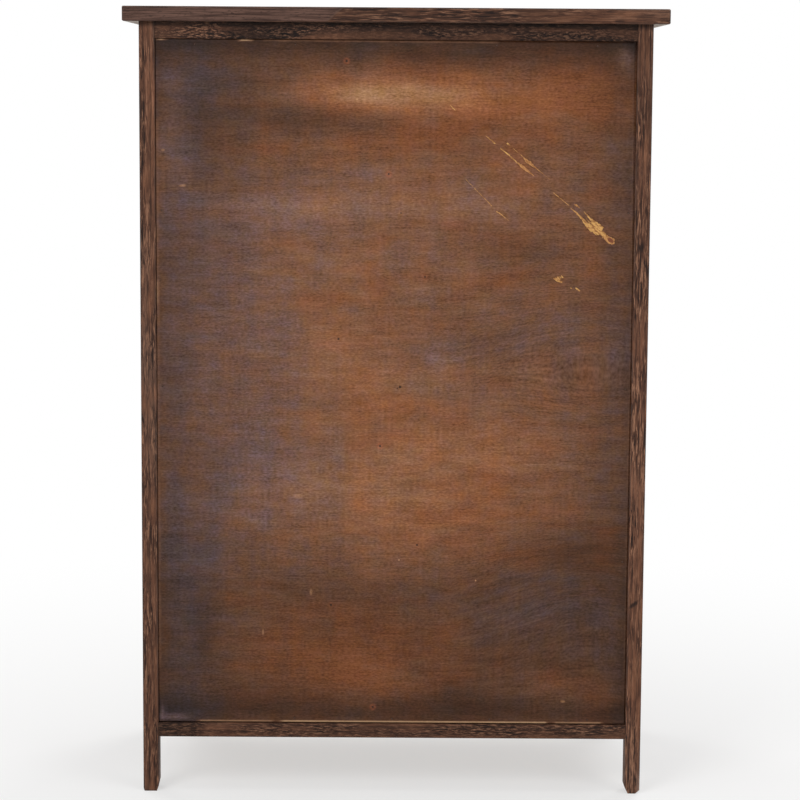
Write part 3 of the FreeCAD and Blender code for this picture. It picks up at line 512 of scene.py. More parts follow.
def side_ply(name, seed, outward):
    """Stained ply of a side panel, bare on the inside."""
    graph = Graph(name)
    dice = random.Random(seed)
    _, y, z = graph.split(graph.place())
    board = graph.join(y + dice.uniform(3, 9), z + dice.uniform(3, 9), 0.0)
    texture = veneer_texture(graph, board)
    blotch = graph.noise(board, (5, 11, 1), 4, 0.55)
    colour = graph.mix(blotch.rise(0.42, 0.62), STAIN_BODY, STAIN_WARM)
    band = graph.noise(board, (6, 22, 1), 3, 0.5, 0.4)
    colour = graph.mix(band.rise(0.47, 0.30, 0.0, 0.7), colour, STAIN_DARK)
    colour = graph.mix(band.rise(0.56, 0.72, 0.0, 0.7), colour, STAIN_COOL)
    rim = edge_distance(graph, *side_panel_face)
    ragged = rim + blotch.swing(50 * MM)
    colour = graph.mix(ragged.rise(0.045, 0.006, 0.0, 0.75), colour, STAIN_COOL)
    colour = graph.mix(ragged.rise(0.020, 0.002, 0.0, 0.55), colour, STAIN_DARK)
    colour = veneer_colour(graph, texture, colour)
    colour = graph.mix(facing(graph, "X", -outward), colour, raw_ply(graph, texture))
    return veneer_finish(graph, colour, texture, veneer_height(graph, texture))


def thin_ply(name, seed):
    """Pale thin ply of a drawer's bottom."""
    graph = Graph(name)
    dice = random.Random(seed)
    x, y, _ = graph.split(graph.place())
    board = graph.join(x + dice.uniform(3, 9), y + dice.uniform(3, 9), 0.0)
    texture = veneer_texture(graph, board)
    figure = graph.noise(board, (4, 30, 1), 4, 0.55, 0.8)
    colour = graph.mix(figure.rise(0.36, 0.64, 0.0, 0.6), raw_ply(graph, texture), PLY_FIGURE)
    return graph.finish(colour, 0.62, graph.bump(veneer_height(graph, texture), 0.2 * MM, 0.5), 0.3)


def brushed_steel(name, base, shade):
    """Dull wire and screw steel with a little tarnish."""
    graph = Graph(name)
    spot = graph.noise(graph.place(), (700, 700, 700), 3, 0.6)
    scuff = graph.noise(graph.place(), (3000, 300, 3000), 2, 0.5)
    colour = graph.mix(spot.rise(0.40, 0.62), shade, base)
    roughness = scuff.vary(0.28, 0.5)
    return graph.finish(colour, roughness, graph.bump(scuff, 0.05 * MM, 0.4), 0.5, 0.9)


def placed(name, data):
    """A new object in the scene."""
    made = bpy.data.objects.new(name, data)
    bpy.context.scene.collection.objects.link(made)
    return made


def dress(node, material):
    """Give a carried-over piece its material."""
    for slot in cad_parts[node].material_slots:
        slot.material = material


def reach_of(node, **changes):
    """A piece's lowest and highest corner, with parts of them changed where tenons hide."""
    low, high = (list(corner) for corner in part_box(node))
    for part, (start, end) in changes.items():
        low["xyz".index(part)] = start
        high["xyz".index(part)] = end
    return low, high


# Dress the frame
top_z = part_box("top_board")[0].z
post_low, post_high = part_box("post_back_left")
panel_low, panel_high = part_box("back_panel")
side_panel_face = ((-0.253, post_low.y - 0.226, 0.073), (0.253, post_low.y, 0.778))
seed_counter = iter(range(101, 400))

dress("top_board", charred_wood(
    "charred_top", "X", next(seed_counter), *reach_of("top_board"), tone=0.78,
    patches=(bare_underside, smoother_stretch), wide_side=("Z", 1), fleck_length=22 * MM))
POST_PATCHES = {
    "post_back_left": (painted_shadow_under_top, toned("Z", 0.745, 0.060, 0.82), toned("Z", 0.250, 0.110, 1.12),
                       knot_at(-0.2490, 0.2009, 0.0042, 0.9), knot_at(-0.2500, 0.5705, 0.005, 0.3),
                       worn_foot),
    "post_back_right": (painted_shadow_under_top, toned("Z", 0.730, 0.035, 1.2), toned("Z", 0.300, 0.600, 0.88)),
}
for depth in ("front", "back"):
    for hand in HANDS:
        post = f"post_{depth}_{hand}"
        dress(post, charred_wood(
            f"charred_{post}", "Z", next(seed_counter), *reach_of(post, z=(0.0, top_z + 1)),
            patches=POST_PATCHES.get(post, ()), fleck_length=19 * MM, fleck_width=1.6 * MM))
RAIL_LOOKS = {
    "back_rail_upper": {"tone": 0.45, "burnt": 0.045, "fleck_length": 6 * MM,
                        "patches": (toned("X", 0.210, 0.040, 1.85), toned("X", 0.135, 0.034, 0.8),
                                    toned("X", 0.080, 0.030, 1.4), painted_shadow_under_top)},
    "back_rail_lower": {"tone": 0.78, "burnt": 0.025, "fleck_length": 9 * MM, "fleck_width": 1.3 * MM,
                        "patches": (toned("X", 0.232, 0.034, 0.55),)},
}
for rail in ("front_rail_upper", "front_rail_1", "front_rail_2", "front_rail_3", "front_rail_lower",
             "back_rail_upper", "back_rail_lower"):
    looks = RAIL_LOOKS.get(rail, {"tone": 0.8})
    dress(rail, charred_wood(
        f"charred_{rail}", "X", next(seed_counter), *reach_of(rail, x=(-1, 1)), **looks))
for level in ("upper", "lower"):
    for hand in HANDS:
        rail = f"side_rail_{level}_{hand}"
        dress(rail, charred_wood(f"charred_{rail}", "Y", next(seed_counter), *reach_of(rail, y=(-1, 1))))
dress("side_panel_left", side_ply("ply_side_left", next(seed_counter), -1))
dress("side_panel_right", side_ply("ply_side_right", next(seed_counter), 1))
dress("carcass_pins", brushed_steel("stained_brads", (0.13, 0.085, 0.065), (0.045, 0.028, 0.022)))

# Dress the runners and drawers, whose fronts come from different trunks
FRONT_RINGS = {1: 11 * MM, 2: 7.5 * MM, 3: 13 * MM, 4: 9 * MM}
steel = brushed_steel("screw_steel", (0.42, 0.40, 0.37), (0.20, 0.17, 0.14))
for row in ROWS:
    for hand in HANDS:
        runner = f"runner_{hand}_{row}"
        dress(runner, bare_wood(
            f"bare_{runner}", "Y", next(seed_counter), *reach_of(runner), patches=(stained_end,)))
        side = f"drawer_{row}_side_{hand}"
        dress(side, bare_wood(f"bare_{side}", "Y", next(seed_counter), *reach_of(side)))
        knob = f"drawer_{row}_knob_{hand}"
        low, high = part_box(knob)
        dress(knob, turned_wood(f"turned_{knob}", next(seed_counter), (low + high) / 2))
    back = f"drawer_{row}_back"
    dress(back, bare_wood(f"bare_{back}", "X", next(seed_counter), *reach_of(back)))
    front = f"drawer_{row}_front"
    dress(front, charred_wood(
        f"charred_{front}", "X", next(seed_counter), *reach_of(front), patches=(bare_side("Y", 1),),
        wide_side=("Y", -1), ring_width=FRONT_RINGS[row], fleck_length=46 * MM, fleck_width=2.2 * MM))
    dress(f"drawer_{row}_bottom", thin_ply(f"thin_ply_{row}", next(seed_counter)))
    dress(f"drawer_{row}_knob_screws", steel)


# The back panel, seen from behind. Places are in millimetres: x to the seen left, z up.
# Each patch, of stain and of painted light and shade alike, is a middle, half a width, half a height and a
# change.
# Tone is counted as on a screen, from 0 for black to 255 for white.
TONE_MIDDLE = 87
TONE_PATCHES = (
    # The stain is darker towards all four edges, and there is painted shade where the light falls off
    # towards them, with a painted shadow of the top board along the top; darker too over the whole lowest
    # quarter
    (250, 450, 42, 900, -16), (-255, 450, 50, 900, -20), (0, 790, 900, 26, -42), (0, 120, 700, 85, -16),
    (0, 88, 900, 12, -18), (200, 715, 70, 42, -20), (228, 700, 18, 70, 15),
    # Painted highlight: a pale band near the top where light reflects off the sheen, with dark streaks
    # under it
    (12, 724, 72, 12, 33), (-40, 720, 140, 20, 10), (95, 706, 45, 12, -12), (60, 694, 70, 10, -13),
    # Bands over the middle
    (0, 642, 110, 18, 6), (-130, 648, 12, 7, 8), (88, 611, 90, 13, 15), (-60, 610, 90, 14, 8),
    (0, 555, 150, 36, 6),
    (-130, 570, 38, 10, -12), (60, 478, 60, 34, 9), (0, 428, 75, 26, 11), (60, 390, 60, 12, 6),
    (-30, 356, 115, 34, 12), (90, 330, 60, 18, 6), (-110, 330, 60, 7, -8), (20, 306, 110, 22, 10),
    (0, 275, 110, 16, 7),
    # Dark bend over the lowest quarter, and paler spots in it
    (-178, 256, 42, 18, -17), (195, 260, 50, 14, -7), (5, 238, 60, 14, 9), (0, 218, 400, 20, -8),
    (196, 168, 13, 34, -11), (110, 150, 46, 14, 7), (30, 126, 50, 18, 12), (-90, 100, 50, 14, -8),
    (-165, 112, 36, 16, 6), (110, 102, 60, 10, -5),
    # A dark border at the seen right, painted shade beside the gap to the post, a paler, cooler corner at
    # the top right, a pale spot and a lighter middle
    (-240, 430, 4, 900, -4), (-232, 762, 8, 12, 12), (-42, 452, 7, 10, 9), (0, 330, 50, 30, 6),
    (-130, 350, 40, 24, 4),
    # What the photo holds besides: warmer and cooler bands a hand wide
    (180, 640, 30, 60, -6), (60, 550, 40, 30, 5), (-130, 545, 30, 26, -6), (-110, 470, 40, 24, -6),
    (190, 330, 26, 40, -6), (-90, 360, 50, 40, 4), (20, 130, 60, 26, 5), (-220, 100, 20, 26, 8),
    (130, 735, 34, 10, -8), (-150, 178, 60, 40, -7), (195, 570, 40, 60, -4), (-70, 672, 70, 16, -3),
    (60, 470, 40, 30, 3), (-10, 280, 70, 24, 3), (30, 432, 60, 14, 3), (40, 98, 80, 14, 5),
    (-160, 98, 50, 14, 7),
    (-220, 170, 14, 40, 6), (-60, 762, 120, 10, -7), (120, 640, 50, 20, -4), (-225, 430, 12, 50, 5),
)
# Small patches keep their outline: a painted glossy reflection in an L along the rounded arris at the seen
# bottom left corner, a pale vertical smear and the paler top right corner
TONE_GLINT_AND_MARKS = ((239, 84, 2.0, 7, 26), (226, 79, 13, 2.6, 30), (57, 362, 2.5, 13, 9), (-231, 764, 5, 9, 14))
WARMTH_GLINT_AND_MARKS = ((238, 86, 4, 9, -0.5), (228, 80, 14, 4, -0.6), (57, 362, 3, 14, -0.3))
# Warmth goes from 0 for grey brown over 0.6 for brown to 1.1 for orange brown
WARMTH_MIDDLE = 0.61
WARMTH_PATCHES = (
    # The warmer band near the top, at z 724, is the colour of the painted highlight there
    (245, 420, 40, 900, -0.38), (-255, 420, 34, 900, -0.16), (-60, 724, 165, 28, 0.42),
    (205, 738, 40, 24, -0.45),
    (-160, 722, 60, 34, 0.22), (20, 670, 90, 14, 0.30), (75, 606, 60, 13, -0.25), (-75, 622, 14, 12, -0.2),
    (-155, 552, 70, 26, 0.22), (165, 560, 60, 120, -0.18), (76, 518, 18, 18, 0.25), (15, 515, 14, 24, 0.2),
    (-148, 477, 44, 22, -0.24), (130, 400, 50, 120, -0.14), (10, 402, 44, 28, 0.27),
    (85, 388, 24, 10, 0.15),
    (-85, 350, 80, 50, 0.23), (-60, 280, 66, 30, 0.26), (30, 320, 30, 60, 0.1), (-165, 196, 58, 30, -0.38),
    (80, 152, 95, 44, 0.42), (206, 160, 18, 80, -0.38), (165, 205, 16, 9, 0.22), (-20, 175, 40, 20, 0.15),
    (-226, 252, 15, 32, 0.45), (-30, 120, 80, 26, 0.2), (240, 430, 5, 900, 0.35),
    (-232, 762, 10, 14, -0.35), (-42, 452, 9, 12, -0.3), (-100, 690, 50, 16, 0.2), (180, 280, 30, 60, -0.2),
    (100, 340, 70, 30, -0.12), (50, 460, 30, 30, 0.15), (40, 130, 60, 20, 0.15), (-218, 98, 20, 22, 0.4),
    (-205, 748, 22, 30, 0.3), (-175, 125, 26, 13, 0.35), (-165, 250, 46, 10, 0.25),
    (-190, 137, 10, 6, 0.25),
)
# Fixed start of the noise that makes the patches' outlines wander
WANDER_SEED = 2
# Where the veneer's streaks climb to the seen right: a middle, half sizes and the climb in millimetres
LEANING_GRAIN = ((-160, 205, 100, 60, 52), (-160, 475, 100, 50, 36), (-175, 425, 70, 24, -26))

# Pin knots: a place, a radius and the strength of the reddish ring round it
PIN_KNOTS = (
    (49.7, 756.6, 0.9, 0.5), (6.7, 643.4, 0.8, 0.5), (-30.9, 539.2, 0.8, 0.2), (57.0, 475.2, 1.1, 0.1),
    (14.0, 365.0, 1.0, 0.6), (-24.7, 262.0, 1.0, 0.1), (63.9, 198.4, 1.0, 0.2), (20.1, 90.5, 0.8, 0.45),
    (-6.1, 426.2, 1.2, 0.0), (-3.4, 424.9, 0.6, 0.0), (-6.0, 604.1, 0.7, 0.1), (-225.4, 772.7, 0.9, 0.0),
    (-229.0, 775.0, 0.9, 0.0),
)
# Small pale marks: a place, half sizes and a strength
PALE_MARKS = (
    (215.5, 630.5, 4.0, 1.7, 0.5), (235.2, 666.2, 2.4, 1.6, 0.35), (-177.7, 97.6, 3.0, 1.8, 0.6),
    (39.2, 718.6, 1.6, 1.3, 0.9), (-6.2, 246.2, 1.2, 1.0, 1.0), (-85.6, 225.0, 1.1, 1.1, 1.0),
    (84.6, 211.9, 1.8, 4.2, 0.42), (134.3, 169.4, 1.3, 4.0, 0.4), (98.0, 312.4, 6.0, 3.2, 0.4),
)
# Scratches down to raw veneer: points with a place, half a width, and how pale the bared wood is
SCRATCHES = (
    ((-54.6, 713.4, 0.3, 0.9), (-57.5, 710.7, 0.8, 0.9), (-60.1, 708.1, 0.4, 0.9)),
    ((-90.9, 682.7, 0.4, 0.7), (-96.5, 678.3, 0.6, 0.6), (-101.0, 674.7, 0.8, 0.8)),
    ((-106.4, 670.3, 0.9, 1.0), (-112.0, 665.6, 0.7, 1.0), (-123.8, 655.5, 0.7, 0.8),
     (-128.2, 651.9, 1.7, 0.3),
     (-133.3, 647.9, 1.4, 0.2), (-141.0, 642.1, 0.25, 0.2)),
    ((-113.0, 675.3, 0.9, 1.0), (-114.6, 673.8, 0.8, 1.0), (-116.0, 672.6, 0.4, 0.8)),
    ((-118.5, 670.6, 0.15, 0.6), (-124.6, 665.4, 0.4, 0.6), (-130.0, 660.9, 0.45, 0.5),
     (-131.9, 658.4, 1.7, 0.35),
     (-137.3, 654.4, 1.6, 0.3), (-141.0, 651.4, 1.0, 0.3), (-146.0, 647.4, 0.35, 0.4),
     (-156.6, 639.0, 0.2, 0.4)),
    ((-71.0, 639.0, 0.15, 0.6), (-85.0, 625.0, 0.4, 0.6), (-98.1, 612.0, 0.5, 0.6)),
    ((-102.7, 606.7, 0.35, 0.6), (-105.2, 604.8, 0.85, 0.5), (-108.1, 603.1, 0.5, 0.5),
     (-115.5, 596.8, 0.2, 0.5)),
    ((-160.4, 625.7, 0.35, 0.6), (-168.0, 619.6, 0.4, 0.6), (-176.1, 613.1, 0.45, 0.5)),
    ((-178.0, 610.2, 0.4, 0.5), (-183.1, 606.2, 0.8, 0.7), (-189.3, 600.2, 1.2, 0.8),
     (-194.0, 594.6, 2.0, 0.9),
     (-198.1, 590.8, 3.1, 0.9), (-203.2, 588.6, 4.5, 0.9), (-208.3, 586.4, 4.1, 0.9),
     (-211.4, 583.6, 2.5, 0.8),
     (-214.0, 581.0, 2.5, 0.6)),
    ((-182.0, 614.2, 0.7, 0.5), (-185.0, 612.2, 1.1, 0.6), (-188.0, 609.8, 0.2, 0.5)),
    ((-191.7, 606.8, 0.4, 0.9), (-196.4, 601.2, 0.9, 1.0), (-200.5, 597.2, 1.6, 1.0),
     (-205.2, 592.8, 3.1, 1.0),
     (-208.8, 588.6, 3.9, 1.0)),
    ((-214.0, 581.0, 2.7, 0.5), (-217.5, 578.6, 3.6, 0.4), (-221.5, 575.6, 3.3, 0.4)),
    ((-162.0, 538.8, 0.6, 0.5), (-164.6, 537.4, 1.9, 0.8), (-167.6, 535.8, 1.5, 0.8),
     (-170.6, 534.6, 0.9, 0.6)),
    ((-166.0, 540.4, 0.6, 0.5), (-168.2, 537.6, 0.9, 0.7)),
    ((-169.6, 541.6, 0.6, 0.9), (-171.2, 539.2, 0.9, 0.9)),
    ((-179.4, 529.0, 0.7, 0.8), (-180.4, 528.4, 0.7, 0.8)),
    ((-184.6, 529.0, 0.7, 1.0), (-188.6, 525.9, 1.0, 1.0)),
)
# Direction of the scratches, seen from behind: down to the right
SCRATCH_ALONG = (0.762, 0.648)
# The reddish end of the widest scratch, where the stain was left
SCRATCH_TIP = (-219.4, 577.6)
# How deep the widest scratch goes and how far from its edge it reaches that depth
SCRATCH_DEPTH = 0.55
SCRATCH_SLOPE = 1.6
# How fast a scratch closes past its ends and beside its edges, so that no false line shows between two
END_FADE = 1.5
SIDE_FADE = 3.0
# Rubbed stretches of the panel's edges: the edge, where it starts and ends, and a strength
RUBBED_EDGES = (
    ("top", 244, 229, 0.75), ("top", 200, 190, 0.3), ("top", 161, 141, 0.8), ("top", 136, -106, 0.36),
    ("bottom", 205, 120, 0.62), ("bottom", 120, -165, 0.85), ("bottom", -165, -222, 0.65),
    ("left", 700, 130, 0.30), ("left", 538, 504, 0.55), ("right", 700, 120, 0.2),
)
# How far a rubbed stretch reaches in from its edge
RUB_REACH = {"top": 1.4, "bottom": 1.8, "left": 3.2, "right": 1.4}
# How far the panel's face spreads over its gap on each side. Its rough edge keeps a clearance from the
# frame and starts at a depth behind the face. It is painted lighter than the face beside it, most at the
# seen right, as painted light in the deep gap that the lamps hardly reach.
SPREAD = {"left": 0.9, "right": 0.35, "top": 0.5, "bottom": 0.6}
EDGE_CLEARANCE = 0.12
EDGE_DEPTH = 0.65
EDGE_LIGHT = 1.7
RIGHT_EDGE_LIGHT = 3.2
# The panel's seen right edge bows towards the post: how far, at which height and over what height
BOW = 0.9
BOW_MIDDLE = 500.0
BOW_REACH = 170.0
# Width of the panel's rounded arris, and how far from a brad the veneer is sunk
ARRIS = 0.5
BRAD_REACH = 1.7
BRAD_SLOPE = 0.6
BRAD_SINK = 0.35
FAR_AWAY = 99.0
# Spacing of the panel's grid, and where it is finer: from, to and the spacing there
GRID_SPACING = 4.8
FINE_COLUMNS = (-229, -50, 1.0)
FINE_LEVELS = (520, 716, 1.0)


def patched(x, z, middle, patches):
    """A value that starts from a middle and changes smoothly inside each patch."""
    total = np.full_like(x, middle)
    for middle_x, middle_z, half_x, half_z, change in patches:
        reach = ((x - middle_x) / half_x) ** 2 + ((z - middle_z) / half_z) ** 2
        total += change * np.exp(-0.7 * reach)
    return total


def screen_to_light(tone):
    """The share of light that a tone from 0 to 255 on a screen stands for."""
    return ((tone / 255 + 0.055) / 1.055) ** 2.4


def scratch_paint(x, z):
    """Across, half width, paleness and distance outside of the nearest scratch, for each point."""
    outside = np.full_like(x, FAR_AWAY)
    across, half, pale = np.zeros_like(x), np.full_like(x, -FAR_AWAY), np.zeros_like(x)
    for line in SCRATCHES:
        for (x1, z1, half1, pale1), (x2, z2, half2, pale2) in zip(line, line[1:]):
            run_x, run_z = x2 - x1, z2 - z1
            length = math.hypot(run_x, run_z)
            share = ((x - x1) * run_x + (z - z1) * run_z) / length ** 2
            held = np.clip(share, 0.0, 1.0)
            off = np.hypot(x - x1 - held * run_x, z - z1 - held * run_z)
            side = ((x - x1) * run_z - (z - z1) * run_x) / length
            half_here = half1 + held * (half2 - half1)
            spare = half_here - END_FADE * np.abs(share - held) * length
            spare -= SIDE_FADE * np.maximum(0.0, np.abs(side) - half_here - 1.0)
            nearer = off - half_here < outside
            outside = np.where(nearer, off - half_here, outside)
            across = np.where(nearer, side, across)
            half = np.where(nearer, spare, half)
            pale = np.where(nearer, pale1 + held * (pale2 - pale1), pale)
    return {"across": across, "half": half, "pale_wood": pale, "outside": outside}


def rubbed(x, z, gaps):
    """How far the stain is rubbed off near the panel's edges."""
    most = np.zeros_like(x)
    fade = 6.0
    for edge, start, end, strength in RUBBED_EDGES:
        along = x if edge in ("top", "bottom") else z
        low, high = min(start, end), max(start, end)
        inside = np.clip((along - low) / fade, 0.0, 1.0) * np.clip((high - along) / fade, 0.0, 1.0)
        near = np.clip(1.8 * (1.0 - gaps[edge] / RUB_REACH[edge]), 0.0, 1.0)
        most = np.maximum(most, strength * inside * near)
    return most


def grid_lines(low, high, fine_range, close_ups):
    """Places of grid lines from low to high: coarse, finer in one range, and close round some spots."""
    start, end, spacing = fine_range
    count = round((high - low) / GRID_SPACING)
    lines = [low + (high - low) * step / count for step in range(count + 1)]
    lines = [line for line in lines if not start < line < end]
    steps = round((end - start) / spacing)
    lines += [start + (end - start) * step / steps for step in range(steps + 1)]
    lines += [spot + off for spot in close_ups for off in (-1.7, -1.1, -0.75, 0.75, 1.1, 1.7)]
    kept = [low]
    for line in sorted(line for line in lines if low < line < high):
        if line - kept[-1] > 0.3 and high - line > 0.3:
            kept.append(line)
    return np.array(kept + [high])


def pin_spots():
    """Middles of the brads that show in the panel's back, in millimetres."""
    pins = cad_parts["carcass_pins"].data
    flush = [(point.co.x / MM, point.co.z / MM) for point in pins.vertices
             if abs(point.co.y - panel_high.y) < 0.05 * MM]
    middles = []
    for place in flush:
        if all(math.dist(place, middle) > 2.0 for middle in middles):
            near = [other for other in flush if math.dist(other, place) < 2.0]
            middles.append(tuple(sum(part) / len(near) for part in zip(*near)))
    return middles


def panel_corners():
    """The panel's four outer corners in millimetres, read from its solid: by low and high x, then z."""
    points = [(point.co.x / MM, point.co.z / MM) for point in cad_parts["back_panel"].data.vertices]
    return [[np.array(max(points, key=lambda point: point[0] * sign_x + point[1] * sign_z))
             for sign_z in (-1, 1)] for sign_x in (-1, 1)]


def on_panel(corners, share_x, share_z, shrink):
    """Places on the panel, which is a little out of square, for shares of its width and height."""
    (low_low, low_high), (high_low, high_high) = corners
    # The low side of x is the seen right one
    spread_x = SPREAD["left"] * share_x - SPREAD["right"] * (1 - share_x)
    spread_z = SPREAD["top"] * share_z - SPREAD["bottom"] * (1 - share_z)
    x, z = ((low_low[part] * (1 - share_x) + high_low[part] * share_x) * (1 - share_z)
            + (low_high[part] * (1 - share_x) + high_high[part] * share_x) * share_z for part in (0, 1))
    bow = BOW * np.exp(-((z - BOW_MIDDLE) / BOW_REACH) ** 2) * (1 - share_x) ** 3
    return x + spread_x - bow + shrink * (1 - 2 * share_x), z + spread_z + shrink * (1 - 2 * share_z)


def make_back_panel():
    """The back panel with eased edges, sunk spots at the brads and real depth in its scratches."""
    corners = panel_corners()
    pins = pin_spots()
    low_x, high_x = panel_low.x / MM + ARRIS, panel_high.x / MM - ARRIS
    low_z, high_z = panel_low.z / MM + ARRIS, panel_high.z / MM - ARRIS
    columns = grid_lines(low_x, high_x, FINE_COLUMNS, sorted({round(x, 1) for x, _ in pins}))
    levels = grid_lines(low_z, high_z, FINE_LEVELS, sorted({round(z, 1) for _, z in pins}))
    shares = np.meshgrid((columns - low_x) / (high_x - low_x), (levels - low_z) / (high_z - low_z))
    share_x, share_z = (share.ravel() for share in shares)
    x, z = on_panel(corners, share_x, share_z, ARRIS)

    # What the shader reads at each point. A fixed seed makes each run give the same.
    noise.seed_set(WANDER_SEED)
    spots = [Vector((px / 42.0, pz / 16.0, 0.7)) for px, pz in zip(x, z)]
    wander = np.array([noise.noise_vector(spot) for spot in spots])
    moved = x + 9.0 * wander[:, 0], z + 4.0 * wander[:, 1]
    paint = scratch_paint(x, z)
    # The small patches add the painted reflection at the bottom left corner and a few marks
    tone = patched(*moved, TONE_MIDDLE, TONE_PATCHES) + patched(x, z, 0.0, TONE_GLINT_AND_MARKS)
    paint["light"] = screen_to_light(tone) - SHEEN_LIGHT
    paint["warmth"] = patched(*moved, WARMTH_MIDDLE, WARMTH_PATCHES) + patched(x, z, 0.0, WARMTH_GLINT_AND_MARKS)
    width, height = high_x - low_x, high_z - low_z
    gaps = {"right": share_x * width, "left": (1 - share_x) * width,
            "bottom": share_z * height, "top": (1 - share_z) * height}
    paint["rub"] = rubbed(x, z, gaps)
    paint["hole"] = np.min([np.hypot(x - pin_x, z - pin_z) for pin_x, pin_z in pins], axis=0)
    paint["lean"], paint["figure"] = np.zeros_like(x), np.zeros_like(x)
    for *spot, climb in LEANING_GRAIN:
        near = patched(x, z, 0.0, ((*spot, 1.0),))
        middle_x, _, half_x, _ = spot
        paint["lean"] += climb * np.maximum(0.0, (middle_x + half_x - x) / (2 * half_x)) * near
        paint["figure"] += near
    paint["figure"] = np.minimum(paint["figure"], 1.0)
    depth = SCRATCH_DEPTH * np.clip(-paint["outside"] / SCRATCH_SLOPE, 0.0, 1.0)
    roughness = [noise.noise(Vector((px / 2.1, pz / 2.1, 3.0))) for px, pz in zip(x, z)]
    depth *= 0.75 + 0.5 * np.array(roughness)
    depth += BRAD_SINK * np.clip((BRAD_REACH - paint["hole"]) / BRAD_SLOPE, 0.0, 1.0)

    # The rounded arris, the edge and the inner face follow the outline of the outer face
    wide, high = len(columns), len(levels)
    outline = (list(range(wide))
               + [row * wide + wide - 1 for row in range(1, high)]
               + [(high - 1) * wide + column for column in reversed(range(wide - 1))]
               + [row * wide for row in reversed(range(1, high - 1))])
    thickness = (panel_high.y - panel_low.y) / MM
    profile = [(ARRIS * (1 - math.sin(turn)), ARRIS * (1 - math.cos(turn)))
               for turn in (math.pi / 6, math.pi / 3, math.pi / 2)]
    profile += [(0.0, EDGE_DEPTH), (0.0, thickness - 0.3), (0.3, thickness)]
    edge_x = post_high.x / MM + EDGE_CLEARANCE
    edge_top = panel_high.z / MM + 1.0 - EDGE_CLEARANCE
    edge_bottom = panel_low.z / MM - 1.0
    edge_shares = share_x[outline], share_z[outline]
    rings = [(x, depth, z)]
    layers = {name: [amount] for name, amount in paint.items()}
    for shrink, ring_depth in profile:
        ring_x, ring_z = on_panel(corners, *edge_shares, shrink)
        below_face = ring_depth > ARRIS
        if below_face:
            # The rough edge reaches nearly to the frame
            ring_x = np.where(edge_shares[0] == 0, edge_x + shrink, ring_x)
            ring_x = np.where(edge_shares[0] == 1, -edge_x - shrink, ring_x)
            ring_z = np.where(edge_shares[1] == 1, edge_top - shrink, ring_z)
            ring_z = np.where(edge_shares[1] == 0, edge_bottom + shrink, ring_z)
        rings.append((ring_x, np.full_like(ring_x, ring_depth), ring_z))
        for name, amount in paint.items():
            layers[name].append(amount[outline])
        layers["half"][-1] = np.full_like(ring_x, -FAR_AWAY)
        layers["hole"][-1] = np.full_like(ring_x, FAR_AWAY)
        if below_face:
            layers["rub"][-1] = 0.3 * paint["rub"][outline]
            # Painted light: the rough edge in the gap is lighter than the face, most at the seen right
            gain = np.where(edge_shares[0] == 0, RIGHT_EDGE_LIGHT, EDGE_LIGHT)
            layers["light"][-1] = gain * paint["light"][outline]

    mesh = bmesh.new()
    points = []
    for ring_x, ring_depth, ring_z in rings:
        places = zip(ring_x * MM, panel_high.y - ring_depth * MM, ring_z * MM)
        points += [mesh.verts.new(place) for place in places]
    for row in range(high - 1):
        for column in range(wide - 1):
            corner = row * wide + column
            mesh.faces.new([points[corner + step] for step in (wide, wide + 1, 1, 0)])
    previous = [points[index] for index in outline]
    for number in range(len(profile)):
        first = wide * high + number * len(outline)
        ring = points[first:first + len(outline)]
        for index in range(len(ring)):
            after = (index + 1) % len(ring)
            mesh.faces.new((previous[after], ring[after], ring[index], previous[index]))
        previous = ring
    mesh.faces.new(previous)
    bmesh.ops.recalc_face_normals(mesh, faces=mesh.faces)
    data = bpy.data.meshes.new("back_panel_ply")
    mesh.to_mesh(data)
    mesh.free()
    for name, parts in layers.items():
        layer = data.attributes.new(name, "FLOAT", "POINT")
        layer.data.foreach_set("value", np.concatenate(parts))
    data.polygons.foreach_set("use_smooth", [True] * len(data.polygons))
    panel = placed("back_panel_ply", data)
    panel.data.materials.append(back_panel_stain())
    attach(panel, "carcass")
    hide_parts("back_panel")


